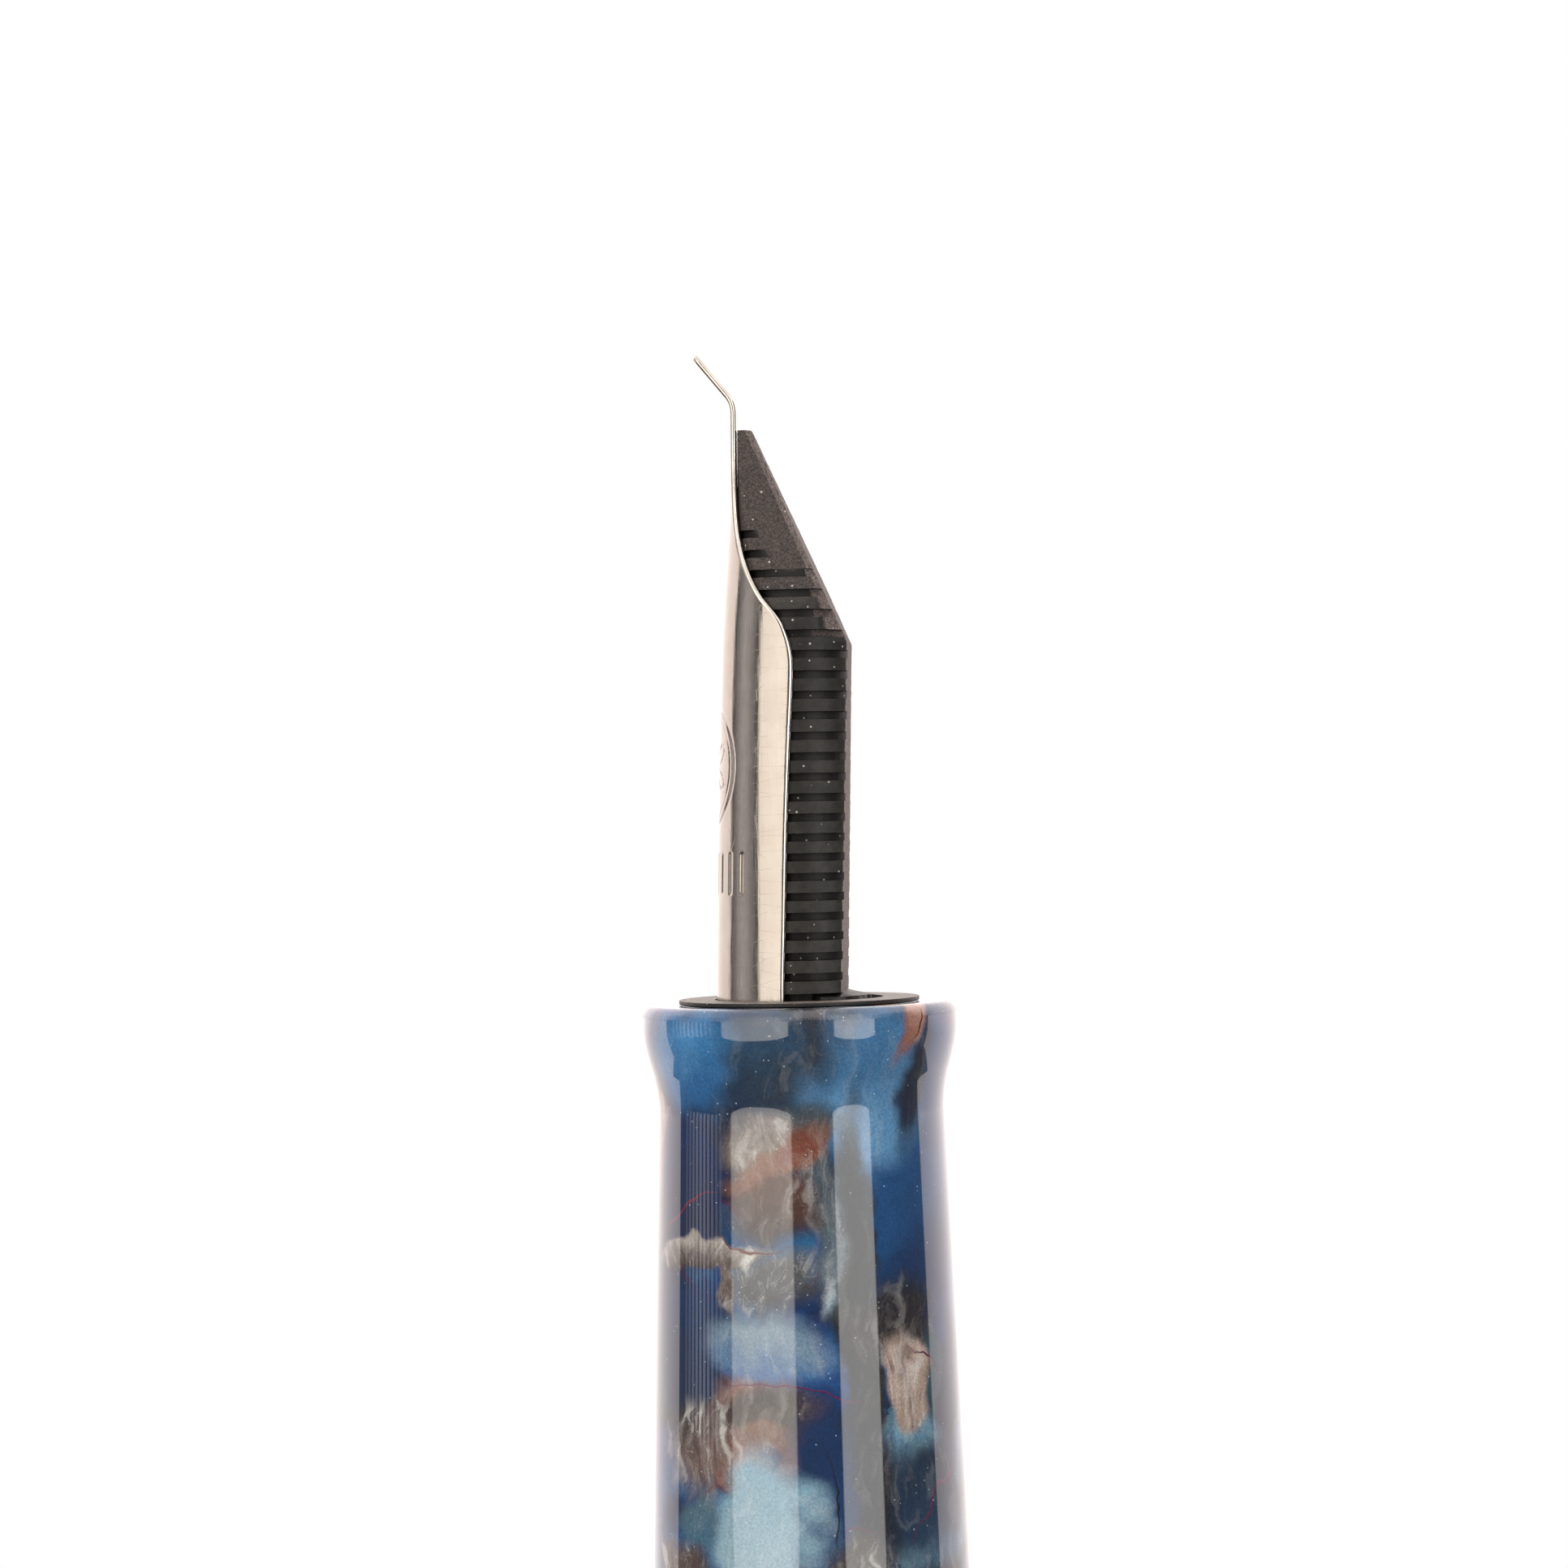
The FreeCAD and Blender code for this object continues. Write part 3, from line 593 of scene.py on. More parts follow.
FRONT_TURN = 4.7  # the grip's front, in degrees from -Y towards +X
grip_chips = [
    (-22, 2.2, 6.6, 4.4, 0, 0.45, "#1f3148", "#23405e", 0.0, 0.0),
    (-48, 1.9, 4.4, 4.0, 0, 0.35, "#2c6ca6", "#4a8ec6", 0.0, 0.1),
    (-8, 1.7, 3.6, 3.0, 0, 0.45, "#2b333f", "#2a4a66", 0.0, 0.1),
    (5, 1.2, 1.5, 2.4, 0, 0.4, "#242126", "#2a282c", 0.1, 0.1),
    (58, 3.2, 4.2, 6.4, 0, 0.3, "#1a3358", "#24477a", 0.0, 0.0),
    (27, 3.0, 4.6, 6.8, 8, 0.3, "#5f92bc", "#3f74a2", 0.05, 0.1),
    (49, 2.9, 1.2, 4.8, -10, 0.5, "#14203a", "#1f2638", 0.1, 0.0),
    (45, 0.5, 1.2, 2.6, -25, 0.3, "#8f5a48", "#b08a7c", 0.2, 0.0),
    (2, 4.1, 2.2, 1.8, 0, 0.4, "#56514e", "#3c4c58", 0.3, 0.2),
    (-52, 6.4, 4.6, 6.0, 0, 0.3, "#1c2444", "#0d2a56", 0.0, 0.0),
    (-15, 4.7, 3.0, 2.2, 10, 0.3, "#85786f", "#776c69", 0.2, 0.8),
    (46, 8.0, 6.6, 5.2, 14, 0.3, "#0f2b52", "#1a4a7c", 0.0, 0.0),
    (8, 8.0, 1.7, 5.6, 14, 0.3, "#6a7c88", "#434f5a", 0.35, 0.1),
    (-12, 5.8, 3.4, 1.4, 14, 0.35, "#7c4a38", "#86604f", 0.1, 0.5),
    (1, 5.0, 1.5, 2.4, -40, 0.3, "#7a4030", "#6b5048", 0.3, 0.1),
    (15, 10.1, 1.5, 2.1, -20, 0.25, "#9db4c2", "#7b8a96", 0.2, 0.4),
    (-12, 7.2, 2.8, 1.8, 0, 0.4, "#40302c", "#553a30", 0.1, 0.3),
    (-42, 8.6, 5.4, 0.9, 6, 0.2, "#4a3c3a", "#a39b94", 0.0, 1.0),
    (-31, 9.9, 0.8, 2.6, 0, 0.25, "#6a5a52", "#75625a", 0.9, 0.0),
    (-13, 9.6, 3.4, 2.4, -6, 0.35, "#40444a", "#626468", 0.0, 1.0),
    (-50, 12.0, 4.4, 5.0, 0, 0.25, "#1a2a46", "#0c2e5a", 0.0, 0.0),
    (10, 13.0, 4.6, 3.0, 0, 0.4, "#16386e", "#28568f", 0.0, 0.0),
    (-15, 12.1, 4.2, 2.3, -5, 0.3, "#3f6a9c", "#7d95a5", 0.05, 0.2),
    (18, 14.4, 1.7, 23.2, 0, 0.2, "#17181f", "#22282e", 0.05, 0.05),
    (66, 14.5, 2.6, 4.6, 0, 0.4, "#14203c", "#1a2a4a", 0.0, 0.0),
    (-16, 14.5, 3.6, 2.2, 0, 0.4, "#453632", "#3a3032", 0.1, 0.2),
    (35, 11.4, 3.6, 2.8, -8, 0.35, "#2c2222", "#1f1f28", 0.2, 0.1),
    (53, 13.2, 1.5, 3.0, 0, 0.3, "#2c4454", "#33505f", 0.1, 0.1),
    (40, 13.5, 2.5, 3.9, 14, 0.16, "#a08a7e", "#b59e92", 1.0, 0.4),
    (5, 17.0, 2.4, 6.4, 0, 0.35, "#1c3a66", "#142d52", 0.0, 0.0),
    (-44, 15.4, 3.6, 3.4, 0, 0.35, "#7a665f", "#4a3d3b", 0.9, 0.2),
    (-16, 15.4, 1.7, 1.0, 20, 0.4, "#6f4c40", "#7c5848", 0.1, 0.2),
    (46, 17.6, 5.6, 4.4, 0, 0.35, "#1b3450", "#16263c", 0.0, 0.1),
    (24, 17.2, 1.8, 5.0, 0, 0.4, "#171822", "#1c1b2a", 0.1, 0.1),
    (-16, 18.6, 4.3, 5.3, 0, 0.2, "#93b2c1", "#83a9bd", 0.06, 0.2),
    (-44, 18.4, 1.8, 2.6, 0, 0.3, "#436a82", "#4f6c7c", 0.1, 0.1),
    (-56, 20.6, 3.0, 2.6, 0, 0.35, "#3a2d31", "#5a4a46", 0.9, 0.3),
    (18, 20.2, 2.2, 3.6, 0, 0.3, "#4c4a4c", "#4a443e", 0.8, 0.3),
    (44, 21.0, 4.4, 2.6, 6, 0.35, "#16203c", "#1c2a40", 0.05, 0.2),
    (-50, 7.3, 2.8, 0.13, 24, 0.5, SEAM, "#7a2a3a", 0.0, 0.0),
    (-22, 8.2, 2.6, 0.09, -8, 0.5, "#6b3a34", "#6b3a34", 0.0, 0.0),
    (-8, 13.5, 4.4, 0.09, -9, 0.5, SEAM, "#6b2050", 0.0, 0.0),
    (54, 17.7, 3.6, 0.10, 34, 0.5, SEAM, "#6b2050", 0.0, 0.0),
    (18, 18.4, 1.8, 0.08, 5, 0.5, SEAM, SEAM, 0.0, 0.0),
    (50, 12.6, 1.8, 0.08, -30, 0.5, SEAM, SEAM, 0.0, 0.0),
    (7, 17.4, 0.07, 3.4, 2, 0.5, BLACK, BLACK, 0.0, 0.0),
    (47, 0.8, 0.12, 1.0, -25, 0.5, "#5a1a14", "#5a1a14", 0.0, 0.0),
]
paint(section, cast_resin("cast resin with pearl chips, grip", grip_chips, (31.0, 7.0, 12.0)))

# ---- Threaded tenon and trim ring ------------------------------------------------------------------
# The tenon is a plated steel sleeve glued into the section's back; its outer thread screws into the
# barrel. The polished steel ring sits on it, between section and barrel.

TENON_BACK = low("section_tenon")
TENON_R = 4.6
TENON_PITCH = 1.0


def thread(base, depth, pitch, starts, start, end, run_out=0.5):
    """Shape of a rounded V thread cut into a turned piece between two heights, fading at both ends."""

    def shape(angle, r, z):
        if abs(r - base) > 1e-4 or not start <= z <= end:
            return r
        phase = (z / (pitch * starts) - angle / math.tau) * starts % 1.0
        cut = 0.5 + 0.5 * math.cos(math.tau * phase)
        fade = min(1.0, (z - start) / run_out, (end - z) / run_out)
        return r - depth * cut**0.7 * fade

    return shape


def rows(start, end, step):
    """Evenly spaced heights, with both ends."""
    count = max(1, round(abs(end - start) / step))
    return [start + (end - start) * i / count for i in range(count + 1)]


tenon = turned(
    "section_tenon_threaded",
    "section",
    [(SECTION_BORE_R, TENON_BACK), (TENON_R - 0.3, TENON_BACK)]
    + [(TENON_R, z) for z in rows(TENON_BACK + 0.3, SECTION_BACK, 0.08)]
    + [(TENON_ROOT_R, SECTION_BACK), (TENON_ROOT_R, SECTION_BACK + 6), (SECTION_BORE_R, SECTION_BACK + 6)],
    around=128,
    shape=thread(TENON_R, 0.3, TENON_PITCH, 1, TENON_BACK + 0.3, SECTION_BACK - 0.6),
)
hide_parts("section_tenon")

RING_R = 6.18
RING_BORE_R = 4.65
RING_BACK = SECTION_BACK - 0.8
ring = turned(
    "section_trim_ring",
    "section_ring",
    rounded(
        [
            (RING_BORE_R, RING_BACK),
            (RING_R, RING_BACK),
            (RING_R, SECTION_BACK),
            (RING_BORE_R, SECTION_BACK),
        ],
        0.14,
    ),
)
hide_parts("section_ring")


def steel(name, tint, rough, brushing, scratches):
    """Stainless steel. Brushing is how deep the lines left by polishing round the piece show."""
    material, tree, shader, in_mm = new_material(name)
    shader.inputs["Metallic"].default_value = 1.0
    mottle = add(tree, "TexNoise", {"Vector": in_mm, "Scale": 0.8, "Detail": 4.0}).outputs[0]
    tree.links.new(
        add(
            tree,
            "Mix",
            {
                0: add(
                    tree,
                    "MapRange",
                    {"Value": mottle, "From Min": 0.35, "From Max": 0.7},
                    interpolation_type="SMOOTHSTEP",
                ).outputs[0],
                6: tint[0],
                7: tint[1],
            },
            data_type="RGBA",
        ).outputs[2],
        shader.inputs["Base Color"],
    )
    # Turning and buffing lines run round the axis, 0.05 mm apart.
    around = add(tree, "VectorMath", {0: in_mm, 1: (0.15, 0.15, 20.0)}, operation="MULTIPLY").outputs[0]
    lines = add(tree, "TexNoise", {"Vector": around, "Scale": 1.0, "Detail": 3.0}).outputs[0]
    tree.links.new(
        add(
            tree,
            "MapRange",
            {
                "Value": lines,
                "From Min": 0.3,
                "From Max": 0.7,
                "To Min": rough * 0.7,
                "To Max": rough * 1.3,
            },
            interpolation_type="SMOOTHSTEP",
        ).outputs[0],
        shader.inputs["Roughness"],
    )
    marks = add(
        tree, "TexVoronoi", {"Vector": in_mm, "Scale": 1.1, "Randomness": 1.0}, feature="DISTANCE_TO_EDGE"
    )
    mark = add(
        tree,
        "MapRange",
        {"Value": marks.outputs["Distance"], "From Min": 0.012, "From Max": 0.0},
        interpolation_type="SMOOTHSTEP",
    ).outputs[0]
    height = add(
        tree,
        "Math",
        {
            0: mark,
            1: -scratches,
            2: add(tree, "Math", {0: lines, 1: brushing}, operation="MULTIPLY").outputs[0],
        },
        operation="MULTIPLY_ADD",
    ).outputs[0]
    bump = add(tree, "Bump", {"Height": height, "Strength": 0.4, "Distance": 0.00002})
    tree.links.new(bump.outputs[0], shader.inputs["Normal"])
    return material


polished_steel = steel("polished stainless steel", ("#b9b7b5", "#cfcecd"), 0.07, 0.25, 0.15)
plated_steel = steel("bright turned steel", ("#b3b1ae", "#c2c0bd"), 0.24, 1.0, 0.1)
paint(tenon, plated_steel)
paint(ring, polished_steel)

# ---- Nib housing and its gasket --------------------------------------------------------------------
# The black moulded sleeve that holds nib and feed. It screws into the section until its thin flange
# presses a rubber ring against the seat in the lip; the converter pushes on the nipple behind.

HOUSING_BACK = low("nib_housing")
HOUSING_FLOOR = LIP - 13.0
FLANGE_TOP = high("nib_housing")
FLANGE_R = 4.48
SLEEVE_R = 3.85
SLEEVE_BORE_R = 3.12
NIPPLE_R = 2.2
NIPPLE_BORE_R = 1.05

housing = turned(
    "nib_housing_sleeve",
    "nib_unit",
    rounded(
        [(NIPPLE_BORE_R, HOUSING_BACK), (NIPPLE_R - 0.3, HOUSING_BACK), (NIPPLE_R, HOUSING_BACK + 0.6)],
        0.1,
    )
    + [(NIPPLE_R, HOUSING_FLOOR), (SLEEVE_R - 0.3, HOUSING_FLOOR), (SLEEVE_R - 0.06, HOUSING_FLOOR + 0.3)]
    + [(SLEEVE_R, z) for z in rows(HOUSING_FLOOR + 0.4, LIP - 0.35, 0.06)]
    + rounded(
        [
            (SLEEVE_R - 0.08, LIP - 0.3),
            (SLEEVE_R - 0.08, LIP_FACE + 0.005),
            (FLANGE_R, LIP_FACE + 0.005),
            (FLANGE_R, FLANGE_TOP),
            (SLEEVE_BORE_R, FLANGE_TOP),
        ],
        0.035,
    )
    + [(SLEEVE_BORE_R, HOUSING_FLOOR + 2), (NIPPLE_BORE_R, HOUSING_FLOOR + 2)],
    around=192,
    shape=thread(SLEEVE_R, 0.22, 0.5, 1, HOUSING_FLOOR + 0.4, LIP - 0.4),
)
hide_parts("nib_housing")


def moulded_plastic(name, colour, worn, rough, grit):
    """Moulded plastic or rubber: nearly flat colour, a fine spark-eroded skin, and dust in the hollows."""
    material, tree, shader, in_mm = new_material(name)
    mottle = add(tree, "TexNoise", {"Vector": in_mm, "Scale": 1.6, "Detail": 5.0}).outputs[0]
    base = add(
        tree,
        "Mix",
        {
            0: add(
                tree,
                "MapRange",
                {"Value": mottle, "From Min": 0.4, "From Max": 0.75},
                interpolation_type="SMOOTHSTEP",
            ).outputs[0],
            6: colour,
            7: worn,
        },
        data_type="RGBA",
    ).outputs[2]
    # Dust lies on what faces up, with single specks of 0.03 to 0.08 mm everywhere.
    facing = add(tree, "SeparateXYZ", {0: add(tree, "NewGeometry").outputs["Normal"]}).outputs[2]
    cover = add(
        tree, "TexNoise", {"Vector": in_mm, "Scale": 6.0, "Detail": 4.0, "Roughness": 0.7}
    ).outputs[0]
    cover = add(
        tree,
        "Math",
        {
            0: add(
                tree,
                "MapRange",
                {"Value": cover, "From Min": 0.35, "From Max": 0.65, "To Min": 0.35, "To Max": 1.0},
                interpolation_type="SMOOTHSTEP",
            ).outputs[0],
            1: add(
                tree,
                "MapRange",
                {"Value": facing, "From Min": 0.5, "From Max": 1.0},
                interpolation_type="SMOOTHSTEP",
            ).outputs[0],
        },
        operation="MULTIPLY",
    ).outputs[0]
    base = add(
        tree,
        "Mix",
        {
            0: add(tree, "Math", {0: cover, 1: 0.75}, operation="MULTIPLY").outputs[0],
            6: base,
            7: "#9a8f86",
        },
        data_type="RGBA",
    ).outputs[2]
    specks = add(tree, "TexVoronoi", {"Vector": in_mm, "Scale": 4.5}, feature="F1")
    chosen = add(tree, "SeparateColor", {0: specks.outputs["Color"]}).outputs[0]
    speck = add(
        tree,
        "Math",
        {
            0: specks.outputs["Distance"],
            1: add(
                tree,
                "MapRange",
                {"Value": chosen, "From Min": 0.6, "From Max": 1.0, "To Min": 0.0, "To Max": 0.2},
                interpolation_type="SMOOTHSTEP",
            ).outputs[0],
        },
        operation="LESS_THAN",
    ).outputs[0]
    base = add(
        tree,
        "Mix",
        {
            0: add(tree, "Math", {0: speck, 1: 0.6}, operation="MULTIPLY").outputs[0],
            6: base,
            7: "#b3aaa5",
        },
        data_type="RGBA",
    ).outputs[2]
    tree.links.new(base, shader.inputs["Base Color"])
    skin = add(tree, "TexNoise", {"Vector": in_mm, "Scale": 9.0, "Detail": 3.0}).outputs[0]
    tree.links.new(
        add(
            tree,
            "MapRange",
            {
                "Value": skin,
                "From Min": 0.3,
                "From Max": 0.7,
                "To Min": rough - 0.08,
                "To Max": rough + 0.08,
            },
            interpolation_type="SMOOTHSTEP",
        ).outputs[0],
        shader.inputs["Roughness"],
    )
    bump = add(tree, "Bump", {"Height": skin, "Strength": grit, "Distance": 0.00002})
    tree.links.new(bump.outputs[0], shader.inputs["Normal"])
    return material


black_plastic = moulded_plastic("moulded black ABS", "#171413", "#241f1d", 0.5, 0.5)
rubber = moulded_plastic("moulded nitrile rubber", "#0f0e0e", "#191717", 0.62, 0.3)
paint(housing, black_plastic)
paint(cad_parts["nib_gasket"], rubber)

# ---- Feed ------------------------------------------------------------------------------------------
# A rod of ebonite, which is hard rubber. Thin fins are sawn round it to hold spare ink, its underside is
# milled flat, and its front is ground to a wedge that lies under the nib's tines.

FEED_BACK = low("feed")
FEED_SHANK_R = 2.78
FEED_STEM_R = 0.95
SHANK_FOOT = LIP - 10.9
FEED_CONE = 0.0185
FEED_LEAN = math.radians(0.6)
FIN_PITCH = 0.7525
FIN_SLOT = 0.30
SLOT_COUNT = 24
FIRST_SLOT = 0.21
SLOT_FLOOR_R = 2.15
SLOT_DRIFT = 0.19  # how far the saw's indexing comes out short
SHALLOW_SLOT = 0.36  # how much shallower a slot is on the side that the saw leaves by
WEDGE_START = 13.45
WEDGE_SIDES_START = 14.2
WEDGE_BEVEL = 0.22
FEED_END = 21.45
NIB_SHEET = 0.24
NIB_GAP = 0.035

# The nib's curl at heights above the lip: x of the upper face at its middle, radius of that face, and
# half the sheet's width measured round the curl.
NIB_CURL = (
    (-10.9, -3.06, 3.06, 4.30),
    (0.0, -3.06, 3.06, 4.30),
    (3.2, -2.97, 2.97, 4.27),
    (6.5, -2.87, 2.89, 4.25),
    (9.5, -2.765, 2.83, 4.27),
    (12.0, -2.655, 2.77, 4.28),
    (12.9, -2.61, 2.76, 4.23),
    (13.6, -2.57, 2.77, 4.05),
    (14.3, -2.52, 2.80, 3.70),
    (15.2, -2.45, 2.87, 2.93),
    (16.1, -2.37, 2.97, 2.31),
    (17.0, -2.30, 3.10, 1.81),
    (17.9, -2.235, 3.40, 1.43),
    (19.0, -2.165, 4.00, 1.08),
    (20.2, -2.12, 5.50, 0.86),
    (21.3, -2.09, 9.00, 0.72),
    (22.15, -2.075, 20.0, 0.64),
)


def nib_curl(height):
    """Upper face's x, radius and half width at a height, smooth between the known ones."""
    if height <= 0:
        return NIB_CURL[1][1:]
    if height >= NIB_CURL[-1][0]:
        return NIB_CURL[-1][1:]
    i = max(k for k in range(len(NIB_CURL)) if NIB_CURL[k][0] <= height)
    a, b = NIB_CURL[i], NIB_CURL[i + 1]
    before, after = NIB_CURL[max(i - 1, 0)], NIB_CURL[min(i + 2, len(NIB_CURL) - 1)]
    span = b[0] - a[0]
    t = (height - a[0]) / span
    out = []
    for k in (1, 2, 3):
        # Curvature is what changes evenly, so the radius is worked out through its inverse.
        p, q, r, s = ((1 / v[k] if k == 2 else v[k]) for v in (before, a, b, after))
        slope_a = (r - p) / (b[0] - before[0]) * span
        slope_b = (s - q) / (after[0] - a[0]) * span
        value = (
            q * (2 * t**3 - 3 * t**2 + 1)
            + slope_a * (t**3 - 2 * t**2 + t)
            + r * (3 * t**2 - 2 * t**3)
            + slope_b * (t**3 - t**2)
        )
        out.append(1 / value if k == 2 else value)
    return out


def to_circle(x, y, dx, dy, centre_x, radius):
    """Distance from a point inside a circle to its wall, along a direction."""
    px = x - centre_x
    b = px * dx + y * dy
    c = px * px + y * y - radius * radius
    return -b + math.sqrt(max(b * b - c, 0.0))


def underside_x(height):
    """x of the feed's flat underside, and of the wedge ground on its front."""
    if height < WEDGE_START:
        return 1.70 + (2.17 - 1.70) * height / WEDGE_START
    return 2.17 + (-1.30 - 2.17) * (height - WEDGE_START) / (FEED_END - WEDGE_START)


def wedge_half_width(height):
    """Half the front's width where its sides are ground away."""
    if height < WEDGE_SIDES_START:
        return math.inf
    return 2.61 + (0.62 - 2.61) * (height - WEDGE_SIDES_START) / (FEED_END - WEDGE_SIDES_START)


def feed_radius(angle, height, in_slot, centre_x):
    """Distance from the feed's middle to its surface at one height, along one direction."""
    dx, dy = math.cos(angle), math.sin(angle)
    lean_x = height * math.tan(FEED_LEAN)
    round_r = FEED_SHANK_R - FEED_CONE * height
    if in_slot:
        # The saw comes out shallow on one side of the flat, so that side keeps nearly its whole edge.
        round_r = min(round_r, SLOT_FLOOR_R + (SHALLOW_SLOT if dy > 0 and dx > 0.5 else 0.0))
    reach = to_circle(centre_x, 0, dx, dy, lean_x, round_r)
    top_x, curl_r, _ = nib_curl(height)
    inner = curl_r - NIB_SHEET - NIB_GAP
    reach = min(reach, to_circle(centre_x, 0, dx, dy, top_x + curl_r, inner))
    if height < 0.44 and dx > 0.5:
        crumbs = 0.16 * max(0.0, noise.noise((angle * 9, height * 9, 0.5)))
        return to_circle(centre_x, 0, dx, dy, 0, FEED_SHANK_R - 0.08 - crumbs)
    if dx > 1e-6:
        reach = min(reach, (underside_x(height) - centre_x) / dx)
    half = wedge_half_width(height)
    if abs(dy) > 1e-6:
        reach = min(reach, half / abs(dy))
    if height > WEDGE_START and dx + abs(dy) > 1e-6:
        # A narrow bevel runs down both sides of the wedge.
        under = underside_x(height)
        half = min(half, math.sqrt(max(0.0, round_r**2 - (under - lean_x) ** 2)))
        bevel = WEDGE_BEVEL * min(1.0, (height - WEDGE_START) / 0.5)
        reach = min(reach, (under + half - bevel - centre_x) / (dx + abs(dy)))
    return reach


def feed_heights():
    """Rows of the finned stretch as (height above the lip, in a slot or not)."""
    out = [(0.14, False), (FIRST_SLOT - 0.001, False)]
    for i in range(SLOT_COUNT):
        # The saw's indexing is a little short over seven fins low on the feed.
        start = FIRST_SLOT + FIN_PITCH * i - SLOT_DRIFT * min(1.0, max(0.0, (i - 2.5) / 7))
        out += [(start, False), (start + 0.004, True), (start + FIN_SLOT / 2, True)]
        out += [(start + FIN_SLOT - 0.004, True), (start + FIN_SLOT, False)]
        fin = FIN_PITCH - FIN_SLOT
        out += [(start + FIN_SLOT + fin * k / 8, False) for k in range(1, 8)]
    top = out[-1][0]
    return out + [(z, False) for z in rows(top + 0.05, FEED_END, 0.05)]


def make_feed():
    """The feed's one closed skin: stem, shank, fins and wedge."""
    around = 288
    points, faces = [], []
    stacked = [(FEED_BACK - LIP, FEED_STEM_R - 0.15), (FEED_BACK - LIP + 0.3, FEED_STEM_R)]
    stacked += [(SHANK_FOOT - LIP, FEED_STEM_R), (SHANK_FOOT - LIP, FEED_SHANK_R - 0.2)]
    stacked += [(SHANK_FOOT - LIP + 0.3, FEED_SHANK_R - 0.03), (0.02, FEED_SHANK_R - 0.03)]
    for height, r in stacked:
        for i in range(around):
            a = math.tau * i / around
            points.append((r * math.cos(a), r * math.sin(a), LIP + height))
    for height, in_slot in feed_heights():
        top_x, curl_r, _ = nib_curl(height)
        centre_x = (underside_x(height) + top_x + NIB_SHEET + NIB_GAP) / 2
        for i in range(around):
            a = math.tau * i / around
            r = feed_radius(a, height, in_slot, centre_x)
            x, y = centre_x + r * math.cos(a), r * math.sin(a)
            # The saw and the grinding wheel leave a slightly torn surface, rougher on the ground faces.
            spot = Vector((x, y, height))
            ground = abs(x - underside_x(height)) < 0.03 or height > WEDGE_START + 2 or height < 0.44
            tear = noise.fractal(spot * 9.0, 1.0, 2.0, 3) * (0.014 if ground else 0.005)
            x += math.cos(a) * tear - (0.02 if ground else 0.0) * max(0.0, noise.noise(spot * 4.0) - 0.35)
            y += math.sin(a) * tear
            lift = noise.noise(spot * 5.0) * (0.006 if in_slot else 0.004)
            points.append((x, y, LIP + height + lift))
    count = len(points) // around
    for k in range(count - 1):
        for i in range(around):
            j = (i + 1) % around
            faces.append((k * around + i, k * around + j, (k + 1) * around + j, (k + 1) * around + i))
    faces.append(tuple(range(around))[::-1])
    faces.append(tuple((count - 1) * around + i for i in range(around)))
    return piece("ebonite_feed", "nib_and_feed", points, faces, crease=32)


feed = make_feed()
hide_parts("feed")


